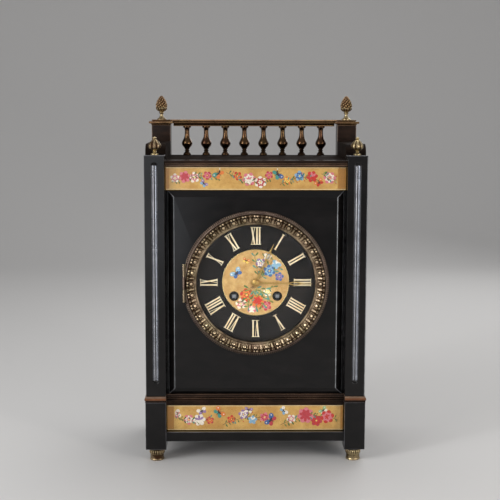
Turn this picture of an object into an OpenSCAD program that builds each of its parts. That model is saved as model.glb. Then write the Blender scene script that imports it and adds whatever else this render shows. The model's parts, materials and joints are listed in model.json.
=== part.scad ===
// Slate mantel clock: polished case, brass bezel, black dial with gilt numerals, turned gallery.
// Millimetres. +Z is up, the dial faces -Y, and the origin is on the ground under the middle.

/* [Case] */
// Width over the corner posts
case_w = 224; // [218:1:236]
// Depth over the corner posts
case_d = 135; // [134:1:145]
// Side of a square corner post
post_w = 20.5; // [19:0.5:21.5]
// Height of the feet
foot_h = 13; // [11:0.5:15]
// Height of the joint between pedestal and band
band_z = 62.9; // [60:0.1:63.3]
// Height of a band moulding
band_h = 6.1; // [5.5:0.1:7.5]
// Height of the tops of the front posts
post_top = 315.4; // [313:0.2:322]
// Height of the tops of the rear posts
rear_top = 343.4; // [340:0.2:348]
// Height of the polished top slab's upper face
top_z = 310.2; // [308:0.2:311]
// How far rails and slab edges stand behind the faces of the posts
setback = 4; // [3:0.5:5]
// Width of the flute in a post
flute_w = 6; // [4:0.5:8]

/* [Front] */
// Lower edge of the raised field
field_z0 = 69.9; // [69.5:0.1:72]
// Upper edge of the raised field
field_z1 = 279.7; // [277:0.1:282]
// Width of the field's bevel
bevel_w = 6.5; // [4:0.5:8]
// Lower edge of the lower tile
tile_z = 30.6; // [30.5:0.1:32]
// Height of the lower tile
low_tile_h = 26.9; // [24:0.1:27]
// Height of the upper tile
top_tile_h = 23.6; // [22:0.1:23.8]

/* [Dial] */
// Height of the dial's centre
dial_z = 186; // [180:0.5:190]
// Outer radius of the bezel
bezel_r = 74.3; // [73.5:0.1:76]
// Radius of the glass that shows
sight_r = 60.2; // [58:0.1:60.4]
// Radius of the gilt centre
centre_r = 34.1; // [31:0.1:35]
// Inner radius of the numerals
numeral_r = 39; // [37:0.5:40]
// Height of the numerals
numeral_h = 17.3; // [14:0.1:18]
// Clockwise angle of the hour hand from the top
hour_angle = 24.8; // [0:0.1:359]
// Clockwise angle of the minute hand from the top
minute_angle = 91; // [0:0.1:359]

/* [Gallery] */
// Number of balusters
baluster_count = 8; // [4:1:9]
// Distance between two balusters
baluster_gap = 21.1; // [17:0.1:21.4]
// Overhang of a cap over its post
cap_over = 2.95; // [2:0.05:3.5]
// Height of a rear finial
pineapple_h = 26.4; // [22:0.1:30]
// Height of a front finial
acorn_h = 18.2; // [15:0.1:22]

/* [Movement] */
// Radius of the movement plates
plate_r = 53; // [52:0.5:54]
// Distance of a winding arbor from the middle line
wind_x = 22; // [21.6:0.1:22.5]
// Drop of the winding arbors below the dial's centre
wind_drop = 14; // [13:0.1:15]
// Length from the pendulum's pivot to the middle of its bob
pendulum_l = 140; // [120:1:144]
// Radius of the pendulum's bob
bob_r = 22; // [16:1:24]
// Radius of the bell's mouth
bell_r = 36; // [32:0.5:36]
// Clearance round a turning arbor
running = 0.05; // [0.02:0.01:0.09]

/* [Hidden] */
$fn = 72;

slate = [0.11, 0.11, 0.13];
brown_slate = [0.15, 0.12, 0.11];
bronze = [0.40, 0.27, 0.17];
brass = [0.66, 0.52, 0.31];
gilt = [0.80, 0.66, 0.40];
steel = [0.45, 0.46, 0.48];
glaze = [0.86, 0.70, 0.42];

// Case lines
half_w = case_w / 2;
half_d = case_d / 2;
inner_x = half_w - post_w;
inner_y = half_d - post_w;
post_x = half_w - post_w / 2;
post_y = half_d - post_w / 2;
rail_z0 = 20.5;
rail_z1 = 30.4;
wall_top = 303.8;
pedestal_proud = 0.75;
shaft_z = band_z + band_h;
flute_z0 = 82.7;
flute_z1 = wall_top + 4.1;
flute_deep = 2.4;

// Depths are counted forwards from the middle of the case, so the front is positive here
panel_f = half_d - 5.5;
bed_f = half_d - 16;
tile_f = half_d - 10;
slab_back_f = half_d - 24;
rear_wall_f = -(half_d - setback);
rear_wall_t = 8;
reach = half_d + 4.5;
aperture_r = 65.5;

// Dial and movement depths, forwards from the middle
ring_back_f = 48;
dial_f = 58.5;
plate_t = 2;
front_plate_f = 46;
back_plate_f = 12;
hinge_r = 1.5;
hinge_pin_r = 0.7;
bezel_back_f = panel_f + 1.5;
bezel_hinge_x = -(bezel_r - hinge_r);
bezel_hinge_f = panel_f + 2.6;
bezel_knuckle = 6.8;
bezel_hinge_half = 19.4;
door_hinge_x = 59.5;
door_hinge_f = rear_wall_f - 3.7;
door_knuckle = 3.8;
door_hinge_half = 9;
strap_angle = 30;
strap_r = 57;
screw_ring_r = 60.5;

// Wheel counts and modules, each wheel with the pinion that it drives
great_n = 76;
great_m = 0.55;
inter_pinion_n = 10;
inter_n = 84;
inter_m = 0.45;
centre_pinion_n = 10;
centre_n = 96;
centre_m = 0.4;
third_pinion_n = 8;
third_n = 88;
third_m = 0.38;
escape_pinion_n = 8;
escape_n = 36;
escape_r = 11;
cannon_n = 16;
motion_n = 48;
cannon_m = 0.5;
minute_pinion_n = 12;
motion_gap = (cannon_n + motion_n) * cannon_m / 2;
hour_m = 2 * motion_gap / (minute_pinion_n + motion_n);
ratchet_n = 24;
ratchet_r = 8.5;

// Where the arbors stand, across and up from the dial's centre
going_at = [wind_x, -wind_drop];
strike_at = [-wind_x, -wind_drop];
centre_at = [0, 0];
inter_at = beside(centre_at, going_at, mesh(inter_n, centre_pinion_n, inter_m),
    mesh(great_n, inter_pinion_n, great_m));
escape_at = [0, 26.1];
third_at = beside(centre_at, escape_at, mesh(centre_n, third_pinion_n, centre_m),
    mesh(third_n, escape_pinion_n, third_m));
pallet_at = [0, 40];
minute_at = [0, motion_gap];
click_at = [wind_x + 11.5, -wind_drop - 9];
hammer_at = [-40, 8];
bell_at = [0, -12];
stand_at = [-20, -30];
pillar_at = [[34, 34], [-34, 34], [18, -45], [-18, -45]];

// Centre distance of two meshed wheels
function mesh(a, b, m) = (a + b) * m / 2;

// Direction of b seen from a, in degrees
function bearing(a, b) = atan2(b.y - a.y, b.x - a.x);

// Point at distance da from a and db from b, to the left of the way from a to b
function beside(a, b, da, db) =
    let(gap = norm(b - a), along = (b - a) / gap, left = [-along.y, along.x])
    let(s = (da * da - db * db + gap * gap) / (2 * gap))
    a + s * along + sqrt(da * da - s * s) * left;

// Smooth curve through points p, with n steps between two of them
function smooth(p, n) = concat(
    [for (i = [0:len(p) - 2], k = [0:n - 1]) blended(p, i, k / n)],
    [p[len(p) - 1]]);

function blended(p, i, t) =
    let(a = p[max(i - 1, 0)], b = p[i], c = p[i + 1], d = p[min(i + 2, len(p) - 1)])
    let(v = ((2 * b) + (c - a) * t + (2 * a - 5 * b + 4 * c - d) * t * t
        + (3 * b - a - 3 * c + d) * t * t * t) / 2)
    [max(v.x, 0), v.y];

// Puts its children on the dial's axes: x across, y up, z forwards from the middle
module on_dial(at = [0, 0]) {
    translate([at.x, 0, dial_z + at.y]) rotate([90, 0, 0]) children();
}

// A round bar of radius r from depth f0 forwards to f1
module bar(r, f0, f1) {
    translate([0, 0, f0]) cylinder(r = r, h = f1 - f0);
}

// Extrudes an outline of depth (y) and height (z) points across x0 to x1
module across(x0, x1) {
    translate([x0, 0, 0]) rotate([90, 0, 90]) linear_extrude(x1 - x0) children();
}

// A block between two corners
module block(a, b) {
    translate(a) cube(b - a);
}

// Repeats its children, drawn at the rear right, at chosen corners
module at_corner(sx, sy) {
    scale_x = sx > 0 ? 0 : 1;
    scale_y = sy > 0 ? 0 : 1;
    mirror([scale_x, 0, 0]) mirror([0, scale_y, 0]) children();
}

module at_four_corners() {
    for (sx = [-1, 1], sy = [-1, 1]) at_corner(sx, sy) children();
}

// A moulding on the two outer faces of a corner: profile points are [how far out, height]
module corner_moulding(profile) {
    low = profile[0].y;
    high = profile[len(profile) - 1].y;
    intersection() {
        across(inner_x, half_w + 5) polygon(concat([[inner_y, low]],
            [for (p = profile) [half_d + p.x, p.y]], [[inner_y, high]]));
        translate([0, half_d + 5, 0]) rotate([90, 0, 0]) linear_extrude(half_d + 5 - inner_y)
            polygon(concat([[inner_x, low]], [for (p = profile) [half_w + p.x, p.y]], [[inner_x, high]]));
    }
}

// A moulding on all four faces of a square: profile points are [half width, height]
module square_moulding(profile) {
    outline = concat(profile, [for (i = [len(profile) - 1:-1:0]) [-profile[i].x, profile[i].y]]);
    size = 60;
    intersection() {
        across(-size / 2, size / 2) polygon(outline);
        translate([0, size / 2, 0]) rotate([90, 0, 0]) linear_extrude(size) polygon(outline);
    }
}

// A straight flute with round stops, cut from z0 to z1 into the face at y = 0
module flute(z0, z1) {
    r = flute_w * flute_w / (8 * flute_deep) + flute_deep / 2;
    translate([0, r - flute_deep, z0 + r]) cylinder(r = r, h = z1 - z0 - 2 * r);
    for (z = [z0 + r, z1 - r]) translate([0, r - flute_deep, z]) sphere(r = r);
}

// The raised field of a panel: half width, rise over its bed and height of its edge
module field(half, bed, edge, face) {
    z0 = field_z0;
    z1 = field_z1;
    intersection() {
        across(-half, half) polygon([[-bed, z0], [-edge, z0], [-face, z0 + bevel_w],
            [-face, z1 - bevel_w], [-edge, z1], [-bed, z1]]);
        translate([0, 0, z0]) linear_extrude(z1 - z0) polygon([[-half, -bed], [-half, -edge],
            [-half + bevel_w, -face], [half - bevel_w, -face], [half, -edge], [half, -bed]]);
    }
}

module base_slab() {
    color(slate) translate([0, 0, rail_z0]) linear_extrude(rail_z1 - rail_z0) union() {
        square([2 * inner_x, case_d - 2 * setback], center = true);
        square([case_w - 2 * setback, 2 * inner_y], center = true);
    }
}

module pedestals() {
    color(slate) at_four_corners() block([inner_x, inner_y, foot_h],
        [half_w + pedestal_proud, half_d + pedestal_proud, band_z]);
}

module post_bands() {
    z = band_z;
    h = band_h;
    cove = [for (a = [0:15:90]) [1.5 - 0.8 * cos(a), z + 0.16 * h + 0.2 * h * sin(a)]];
    profile = concat([[0.7, z], [1, z], [1, z + 0.12 * h]], cove,
        [[1.5, z + 0.66 * h], [1.3, z + 0.74 * h], [0.2, z + h]]);
    color(brown_slate) at_four_corners() corner_moulding(profile);
}

module post(height) {
    difference() {
        block([inner_x, inner_y, shaft_z], [half_w, half_d, height]);
        translate([half_w, post_y, 0]) rotate([0, 0, -90]) flute(flute_z0, flute_z1);
        if (height == post_top) translate([post_x, half_d, 0]) flute(flute_z0, flute_z1);
    }
}

module front_left_post() {
    color(slate) at_corner(-1, -1) post(post_top);
}

module front_right_post() {
    color(slate) at_corner(1, -1) post(post_top);
}

module rear_left_post() {
    color(brown_slate) at_corner(-1, 1) post(rear_top);
}

module rear_right_post() {
    color(brown_slate) at_corner(1, 1) post(rear_top);
}

module feet() {
    h = foot_h;
    profile = concat([[0, 0], [6.6, 0]], smooth([[6.9, 0.03 * h], [7.4, 0.1 * h], [7.4, 0.4 * h],
        [7.2, 0.47 * h], [7.2, 0.5 * h], [7.9, 0.58 * h], [8, 0.7 * h], [7.3, 0.85 * h]], 3),
        [[6.2, 0.92 * h], [6.2, h], [0, h]]);
    color(brass) at_four_corners() translate([post_x, post_y, 0]) rotate_extrude() polygon(profile);
}

module front_slab() {
    color(slate) difference() {
        union() {
            block([-inner_x, -bed_f, rail_z1], [inner_x, -slab_back_f, wall_top]);
            field(inner_x - 2.5, bed_f - 1, panel_f - 3.5, panel_f);
        }
        on_dial() bar(aperture_r, slab_back_f - 1, panel_f + 1);
    }
}

module lower_moulding() {
    z1 = field_z0;
    z0 = tile_z + low_tile_h;
    f = tile_f;
    cove = [for (a = [0:15:90]) [f + 2.6 - 2.2 * sin(a), z1 - 3.1 - 2.4 * (1 - cos(a))]];
    bead = [for (a = [90:-20:-90]) [f + 1.6 + 1.5 * cos(a), z1 - 7.3 + 1.5 * sin(a)]];
    outline = concat([[bed_f, z1], [f + 3.2, z1], [f + 3.2, z1 - 3.1]], cove, bead,
        [[f + 1.4, z1 - 9.2], [f + 1.4, z0], [bed_f, z0]]);
    color(brown_slate) across(-inner_x, inner_x) polygon([for (p = outline) [-p.x, p.y]]);
}

module side_panel() {
    wall_x = half_w - setback - 2.5;
    translate([wall_x, 0, 0]) rotate([0, 0, 90]) union() {
        block([-inner_y, 0, rail_z1], [inner_y, 8, wall_top]);
        field(inner_y - 2.5, -1, 0.2, 2.5);
    }
}

module left_side_panel() {
    color(slate) mirror([1, 0, 0]) side_panel();
}

module right_side_panel() {
    color(slate) side_panel();
}

module back_panel() {
    color(slate) difference() {
        block([-inner_x, -rear_wall_f - rear_wall_t, rail_z1], [inner_x, -rear_wall_f, wall_top]);
        on_dial() bar(aperture_r, rear_wall_f - 1, rear_wall_f + rear_wall_t + 1);
    }
}

module top_slab() {
    color(brown_slate) block([-inner_x, -bed_f, wall_top], [inner_x, half_d - setback, top_z]);
}

module cornice() {
    f = half_d - setback;
    h = top_z - wall_top;
    round_edge = [for (a = [90:-15:-90]) [f - 1.1 + 1.1 * cos(a), top_z - 1.5 + 1.5 * sin(a)]];
    cove = [for (a = [0:15:90]) [f - 1.2 - 1.6 * sin(a), top_z - 0.55 * h - 0.2 * h * (1 - cos(a))]];
    outline = concat([[bed_f, top_z]], round_edge, [[f - 1.2, top_z - 0.5 * h]], cove,
        [[f - 2.4, top_z - 0.8 * h], [f - 2.4, wall_top], [bed_f, wall_top]]);
    color(brown_slate) across(-inner_x, inner_x) polygon([for (p = outline) [-p.x, p.y]]);
}

module tile(z, h) {
    half = inner_x - 0.2;
    edge = 0.4;
    intersection() {
        across(-half, half) polygon([[-bed_f, z], [-tile_f + edge, z], [-tile_f, z + edge],
            [-tile_f, z + h - edge], [-tile_f + edge, z + h], [-bed_f, z + h]]);
        translate([0, 0, z]) linear_extrude(h) polygon([[-half, -bed_f], [-half, -tile_f + edge],
            [-half + edge, -tile_f], [half - edge, -tile_f], [half, -tile_f + edge], [half, -bed_f]]);
    }
}

module upper_tile() {
    color(glaze) tile(field_z1 + 0.2, top_tile_h);
}

module lower_tile() {
    color(glaze) tile(tile_z, low_tile_h);
}

// A side cheek, which rises behind the front post in a quarter round
module cheek() {
    r = 10.4;
    across(inner_x, half_w) union() {
        polygon([[-inner_y, wall_top], [inner_y, wall_top], [inner_y, post_top], [-inner_y, post_top]]);
        polygon([[r - inner_y, post_top - 1], [inner_y, post_top - 1], [inner_y, post_top + r],
            [r - inner_y, post_top + r]]);
        translate([r - inner_y, post_top]) circle(r = r);
    }
}

module left_cheek() {
    color(brown_slate) mirror([1, 0, 0]) cheek();
}

module right_cheek() {
    color(brown_slate) cheek();
}

cap_half = post_w / 2 + cap_over;
cap_h = 5.7;

module rear_caps() {
    z = rear_top;
    low = post_w / 2 + 0.3;
    cove = [for (a = [0:15:90]) [low + (cap_half - low) * (1 - cos(a)), z + 0.3 + 1.4 * sin(a)]];
    profile = concat([[low, z]], cove, [[cap_half, z + 3.6], [cap_half - 0.6, z + 3.9],
        [post_w / 2 - 0.7, z + 3.9], [post_w / 2 - 0.7, z + 4.5], [post_w / 2, z + 4.8],
        [post_w / 2, z + cap_h]]);
    color(brass) for (side = [-1, 1]) translate([side * post_x, post_y, 0]) square_moulding(profile);
}

// Underside of the gallery rail, which hangs a little below the tops of the rear posts
rail_under = rear_top - 1.4;

// The rail fills the gap between the caps and reaches over their lips to the upper blocks
module gallery_rail() {
    z = rail_under;
    lip = rear_top + 3.9;
    half = post_x - cap_half;
    low = [[3.2, z], [3.2, z + 1.4], [4.2, z + 2.4], [4.4, z + 3.3], [4.2, z + 4.1], [3.4, z + 4.4],
        [3.8, lip]];
    high = [[3.8, lip], [3.6, z + 6.2], [2.6, z + 7.1]];
    side = concat(low, high);
    color(brass) union() {
        across(-half, half) translate([post_y, 0]) polygon(both_sides(side));
        across(-post_x + post_w / 2, post_x - post_w / 2) translate([post_y, 0])
            polygon(both_sides(high));
    }
}

function both_sides(side) = concat(side, [for (i = [len(side) - 1:-1:0]) [-side[i].x, side[i].y]]);

// Turned bodies are drawn as [radius, share of the height] and scaled to height h
function turned(points, h) = concat([[0, 0]], [for (p = points) [p.x, p.y * h]], [[0, h]]);

module balusters() {
    h = rail_under - top_z;
    curve = smooth([[3.3, 0.09], [2.3, 0.13], [2.7, 0.165], [2.2, 0.2], [2.9, 0.245], [4.1, 0.285],
        [5.4, 0.34], [5.9, 0.4], [5.5, 0.46], [4.4, 0.53], [3.3, 0.6], [2.7, 0.68], [2.5, 0.78],
        [2.55, 0.87], [3.1, 0.925]], 2);
    profile = turned(concat([[4.3, 0], [4.3, 0.03], [3.9, 0.06]], curve, [[4.4, 0.955], [4.4, 1]]), h);
    color(bronze) for (i = [0:baluster_count - 1])
        translate([(i - (baluster_count - 1) / 2) * baluster_gap, post_y, top_z])
            rotate_extrude() polygon(profile);
}

module pineapple_finials() {
    h = pineapple_h;
    stem = smooth([[4.6, 0.03], [3.3, 0.07], [2.4, 0.12], [1.8, 0.17], [1.8, 0.22], [2.7, 0.27],
        [2.3, 0.3], [3, 0.33], [4.6, 0.365], [5.8, 0.41], [6.3, 0.45], [5.9, 0.48]], 2);
    cone = smooth([[6.5, 0.52], [6.6, 0.59], [6, 0.7], [4.8, 0.82], [2.9, 0.93], [1.2, 0.985]], 3);
    color(brass) for (side = [-1, 1]) translate([side * post_x, post_y, rear_top + cap_h])
        rotate_extrude() polygon(turned(concat([[5, 0]], stem, cone), h));
}

module front_finials() {
    h = acorn_h;
    curve = smooth([[2.3, 0.09], [1.7, 0.13], [2.1, 0.17], [1.7, 0.21], [2.6, 0.25], [4.3, 0.3],
        [5.8, 0.37], [6.4, 0.46], [6.1, 0.56], [5, 0.66], [3.6, 0.75], [2.3, 0.82], [1.6, 0.86],
        [2, 0.93], [1.2, 0.98]], 3);
    color(brass) for (side = [-1, 1]) translate([side * post_x, -post_y, post_top])
        rotate_extrude() polygon(turned(concat([[4.1, 0], [4.1, 0.05]], curve), h));
}

// Fixed ring that holds the dial and carries the outer knuckles of the bezel's hinge
module dial_ring() {
    tube = 61.5;
    flange = 71;
    profile = [[50, ring_back_f], [tube + 2, ring_back_f], [tube + 2, panel_f], [flange, panel_f],
        [flange, panel_f + 1.2], [tube, panel_f + 1.2], [tube, dial_f - 2], [tube - 3, dial_f - 2],
        [tube - 3, dial_f - 3.2], [tube, dial_f - 3.2], [tube, ring_back_f + 2], [50, ring_back_f + 2]];
    color(brass) on_dial() difference() {
        union() {
            rotate_extrude() polygon(profile);
            for (side = [-1, 1]) {
                y0 = side > 0 ? bezel_knuckle + 0.2 : -bezel_hinge_half;
                y1 = side > 0 ? bezel_hinge_half : -bezel_knuckle - 0.2;
                block([bezel_hinge_x, y0, panel_f], [-tube - 3, y1, panel_f + 1.2]);
                translate([bezel_hinge_x, y0, bezel_hinge_f]) rotate([-90, 0, 0])
                    cylinder(r = hinge_r, h = y1 - y0);
            }
        }
        translate([bezel_hinge_x, -30, bezel_hinge_f]) rotate([-90, 0, 0])
            cylinder(r = hinge_pin_r + running, h = 60);
    }
}

module dial_plate() {
    color([0.05, 0.05, 0.06]) on_dial() difference() {
        bar(61.4, dial_f - 2, dial_f);
        bar(3.2, dial_f - 3, dial_f + 1);
        for (at = [going_at, strike_at]) translate([at.x, at.y, 0]) bar(4.6, dial_f - 3, dial_f + 1);
    }
}

stroke = 1.5;
hairline = 0.55;
serif = 0.5;
thin_step = 2.7;
wide_step = 5;
NUMERALS = ["XII", "I", "II", "III", "IIII", "V", "VI", "VII", "VIII", "IX", "X", "XI"];

function step_of(letter) = letter == "I" ? thin_step : wide_step;

function run_of(word, n) = n == 0 ? 0 : run_of(word, n - 1) + step_of(word[n - 1]);

// A straight stroke from the foot of a letter to its head
module slant(x0, x1, w) {
    polygon([[x0 - w / 2, 0], [x0 + w / 2, 0], [x1 + w / 2, numeral_h], [x1 - w / 2, numeral_h]]);
}

module letter(kind) {
    a = 1.45;
    if (kind == "I") slant(0, 0, stroke);
    if (kind == "V") {
        slant(0, -a, stroke);
        slant(0, a, hairline);
    }
    if (kind == "X") {
        slant(a, -a, stroke);
        slant(-a, a, hairline);
    }
}

module numeral(word) {
    width = run_of(word, len(word));
    translate([-width / 2, 0]) {
        for (i = [0:len(word) - 1])
            translate([run_of(word, i) + step_of(word[i]) / 2, 0]) letter(word[i]);
        for (y = [0, numeral_h - serif]) translate([0.1, y]) square([width - 0.2, serif]);
    }
}

module dial_gilding() {
    color(gilt) on_dial() translate([0, 0, dial_f]) {
        linear_extrude(0.2) for (i = [0:11])
            rotate(-30 * i) translate([0, numeral_r]) numeral(NUMERALS[i]);
        linear_extrude(0.25) difference() {
            circle(r = centre_r);
            circle(r = 3.6);
            for (at = [going_at, strike_at]) translate(at) circle(r = 5);
        }
    }
}

module winding_collets() {
    color(brass) for (at = [going_at, strike_at]) on_dial(at) difference() {
        bar(4.55, dial_f - 2, dial_f + 0.7);
        bar(3.3, dial_f - 3, dial_f + 1);
    }
}

module hinge_pins() {
    color(steel) on_dial() {
        translate([bezel_hinge_x, -bezel_hinge_half, bezel_hinge_f]) rotate([-90, 0, 0])
            cylinder(r = hinge_pin_r, h = 2 * bezel_hinge_half);
        translate([door_hinge_x, -door_hinge_half, door_hinge_f]) rotate([-90, 0, 0])
            cylinder(r = hinge_pin_r, h = 2 * door_hinge_half);
    }
}

// Pivot holes of the train, the same in both plates
module train_holes(f) {
    for (at = [inter_at, third_at, escape_at]) translate([at.x, at.y, 0])
        bar(0.7 + running, f - 1, f + plate_t + 1);
    translate([hammer_at.x, hammer_at.y, 0]) bar(1.2 + running, f - 1, f + plate_t + 1);
}

module front_plate() {
    f = front_plate_f;
    color(brass) on_dial() {
        difference() {
            bar(plate_r, f, f + plate_t);
            train_holes(f);
            bar(1.5 + running, f - 1, f + plate_t + 1);
            for (at = [going_at, strike_at]) translate([at.x, at.y, 0])
                bar(2.5 + running, f - 1, f + plate_t + 1);
            translate([pallet_at.x, pallet_at.y, 0]) bar(0.6 + running, f - 1, f + plate_t + 1);
        }
        translate([minute_at.x, minute_at.y, 0]) bar(1, f + 1, f + 9);
        for (side = [-1, 1]) translate([side * click_at.x, click_at.y, 0]) bar(1.2, f + 1, f + 5);
    }
}

module back_plate() {
    f = back_plate_f;
    color(brass) on_dial() difference() {
        bar(plate_r, f, f + plate_t);
        train_holes(f);
        bar(0.7 + running, f - 1, f + plate_t + 1);
        for (at = [going_at, strike_at]) translate([at.x, at.y, 0])
            bar(1.2 + running, f - 1, f + plate_t + 1);
        translate([pallet_at.x, pallet_at.y, 0]) bar(3.2, f - 1, f + plate_t + 1);
    }
}

module plate_pillars() {
    f0 = back_plate_f + plate_t;
    f1 = front_plate_f;
    mid = (f0 + f1) / 2;
    color(brass) for (at = pillar_at) on_dial(at) union() {
        bar(2.2, f0, f1);
        bar(3.2, f0, f0 + 3);
        bar(3.2, f1 - 3, f1);
        bar(2.9, mid - 1.5, mid + 1.5);
    }
}

module case_straps() {
    rear = rear_wall_f + 7.5;
    color(steel) for (turn = [strap_angle, strap_angle + 180]) on_dial() rotate(turn) difference() {
        union() {
            block([strap_r, -6, rear - 2], [strap_r + 2, 6, ring_back_f]);
            block([plate_r + 0.6, -6, ring_back_f - 2], [62, 6, ring_back_f]);
            block([strap_r, -6, rear - 2], [62.6, 6, rear]);
        }
        translate([screw_ring_r, 0, 0]) bar(1.5, rear - 3, rear + 1);
    }
}

module strap_screws() {
    rear = rear_wall_f + 5.5;
    face = rear_wall_f - 2;
    color(steel) for (turn = [strap_angle, strap_angle + 180]) on_dial() rotate(turn)
        translate([screw_ring_r, 0, 0]) difference() {
            union() {
                bar(1.5, face - 0.5, rear + 2);
                bar(3.1, face - 1.5, face);
            }
            block([-4, -0.4, face - 2], [4, 0.4, face - 0.9]);
        }
}

// Fixed ring round the opening in the back, with the outer knuckles of the door's hinge
module back_ring() {
    face = rear_wall_f - 2;
    profile = [[55, face], [69, face], [70, face + 1], [70, rear_wall_f], [64.7, rear_wall_f],
        [64.7, rear_wall_f + 4.5], [62.9, rear_wall_f + 4.5], [62.9, rear_wall_f], [55, rear_wall_f]];
    color(brass) on_dial() difference() {
        union() {
            rotate_extrude() polygon(profile);
            for (side = [-1, 1]) {
                y0 = side > 0 ? door_knuckle + 0.2 : -door_hinge_half;
                y1 = side > 0 ? door_hinge_half : -door_knuckle - 0.2;
                block([door_hinge_x - 1.2, y0, door_hinge_f], [door_hinge_x + 1.2, y1, face + 0.5]);
                translate([door_hinge_x, y0, door_hinge_f]) rotate([-90, 0, 0])
                    cylinder(r = hinge_r, h = y1 - y0);
            }
        }
        translate([door_hinge_x, -20, door_hinge_f]) rotate([-90, 0, 0])
            cylinder(r = hinge_pin_r + running, h = 40);
        for (turn = [strap_angle, strap_angle + 180]) rotate(turn)
            translate([screw_ring_r, 0, 0]) bar(1.6, face - 1, rear_wall_f + 1);
    }
}

// Bridge behind the back plate: the anchor's rear pivot and the pendulum's bearing
module suspension_cock() {
    f = 3;
    color(brass) on_dial() difference() {
        union() {
            block([-14, 34, f], [14, 47, f + 3]);
            block([-14, 34, f], [-10, 47, back_plate_f]);
            block([10, 34, f], [14, 47, back_plate_f]);
            translate([pallet_at.x, pallet_at.y, 0]) bar(3.5, f - 4, f + 1);
        }
        translate([pallet_at.x, pallet_at.y, 0]) {
            bar(0.6 + running, f + 1.2, f + 4);
            bar(1 + running, f - 5, f - 0.5);
        }
    }
}

bell_mouth_f = -8;
bell_rise = 22;

module bell_stand() {
    stud_f = bell_mouth_f - bell_rise - 3;
    color(steel) on_dial() union() {
        translate([stand_at.x, stand_at.y, 0]) {
            bar(2.2, bell_mouth_f - 1, back_plate_f);
            bar(4, back_plate_f - 2, back_plate_f);
        }
        translate([stand_at.x, stand_at.y, bell_mouth_f - 2.5])
            rotate(bearing(stand_at, bell_at)) block([-2.8, -2.6, 0], [norm(bell_at - stand_at) + 2.8, 2.6, 2.5]);
        translate([bell_at.x, bell_at.y, 0]) {
            bar(2.2, stud_f + 2, bell_mouth_f);
            bar(1.6, stud_f, stud_f + 3);
            bar(3.4, bell_mouth_f - bell_rise - 1.6, bell_mouth_f - bell_rise);
        }
    }
}

module bell() {
    r = (bell_r * bell_r + bell_rise * bell_rise) / (2 * bell_rise);
    middle = bell_mouth_f - bell_rise + r;
    wall = 1.8;
    color([0.55, 0.5, 0.4]) on_dial(bell_at) rotate_extrude() difference() {
        translate([0, middle]) circle(r = r, $fn = 96);
        translate([0, middle]) circle(r = r - wall, $fn = 96);
        translate([-100, bell_mouth_f]) square([200, 100]);
        translate([-100, middle - 100]) square([102.4, 200]);
    }
}

// Hinged front ring: milled edge, plain rings, an inclined band and the lip round the glass
module bezel() {
    f = panel_f;
    lip = sight_r;
    outer = bezel_r;
    profile = [[outer, f + 1.5], [outer, f + 4.6], [outer - 0.9, f + 5.5], [outer - 1.6, f + 6.9],
        [outer - 2.9, f + 7.5], [outer - 4.2, f + 7], [outer - 4.8, f + 7.4], [outer - 5.2, f + 9.6],
        [outer - 5.9, reach], [outer - 6.6, f + 9.6], [outer - 9.5, f + 8.6], [lip + 2.2, f + 6.2],
        [lip + 1.6, f + 6.7], [lip + 0.6, f + 6.7], [lip, f + 6.1], [lip, f + 4.4], [62.7, f + 4.4],
        [62.7, f + 1.5]];
    cut = bezel_hinge_half + 0.4;
    color(brass) on_dial() difference() {
        union() {
            difference() {
                rotate_extrude() polygon(profile);
                block([-bezel_r - 5, -cut, f], [bezel_hinge_x + 1.9, cut, f + 20]);
            }
            translate([bezel_hinge_x, -bezel_knuckle, bezel_hinge_f]) rotate([-90, 0, 0])
                cylinder(r = hinge_r, h = 2 * bezel_knuckle);
            block([bezel_hinge_x, -bezel_knuckle, f + 1.7], [-bezel_r + 6, bezel_knuckle, f + 3.4]);
        }
        translate([bezel_hinge_x, -30, bezel_hinge_f]) rotate([-90, 0, 0])
            cylinder(r = hinge_pin_r + running, h = 60);
    }
}

module bezel_glass() {
    f = panel_f;
    color([0.85, 0.9, 0.9, 0.3]) on_dial() rotate_extrude() polygon([[0, f + 1.9], [62.5, f + 1.9],
        [62.5, f + 4.2], [sight_r - 0.6, f + 4.2], [sight_r - 3.6, f + 4.8], [0, f + 4.8]]);
}

module back_door() {
    face = rear_wall_f - 2;
    profile = [[0, face - 1.2], [56, face - 1.2], [56.6, face - 0.8], [56.6, face - 0.2], [54.6, face - 0.2],
        [54.6, face + 0.4], [53.4, face + 0.4], [53.4, face - 0.2], [0, face - 0.2]];
    color(brass) on_dial() difference() {
        union() {
            rotate_extrude() polygon(profile);
            translate([-48, 0, 0]) {
                bar(1.6, -reach + 1, face - 1);
                bar(3, -reach, -reach + 2.4);
            }
            translate([door_hinge_x, -door_knuckle, door_hinge_f]) rotate([-90, 0, 0])
                cylinder(r = hinge_r, h = 2 * door_knuckle);
            block([52, -door_knuckle, face - 1.2], [door_hinge_x, door_knuckle, face - 0.2]);
        }
        translate([door_hinge_x, -20, door_hinge_f]) rotate([-90, 0, 0])
            cylinder(r = hinge_pin_r + running, h = 40);
    }
}

// Outline points of n teeth: module m, then the addendum, the dedendum and the half widths
// of a tooth at tip and root, all in modules
function tooth_points(n, m, add, ded, tip, root) =
    let(r = n * m / 2, per = 180 / PI * m / r)
    [for (i = [0:n - 1], p = [[-ded, -root], [add, -tip], [add, tip], [-ded, root]])
        let(a = 360 * i / n + p.y * per) (r + p.x * m) * [cos(a), sin(a)]];

// A crossed-out wheel whose first tooth points in direction turn
module wheel(n, m, turn, rim, hub, spokes) {
    rotate(turn) difference() {
        polygon(tooth_points(n, m, 0.95, 1.5, 0.25, 0.75));
        circle(r = n * m / 2 - rim);
    }
    for (k = [0:spokes - 1]) rotate(360 * k / spokes) translate([0, -0.9])
        square([n * m / 2 - rim + 0.5, 1.8]);
    circle(r = hub);
}

// A pinion that shows a gap, not a leaf, in direction turn
module pinion(n, m, turn) {
    rotate(turn + 180 / n) polygon(tooth_points(n, m, 0.5, 1.5, 0.3, 0.4));
}

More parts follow.
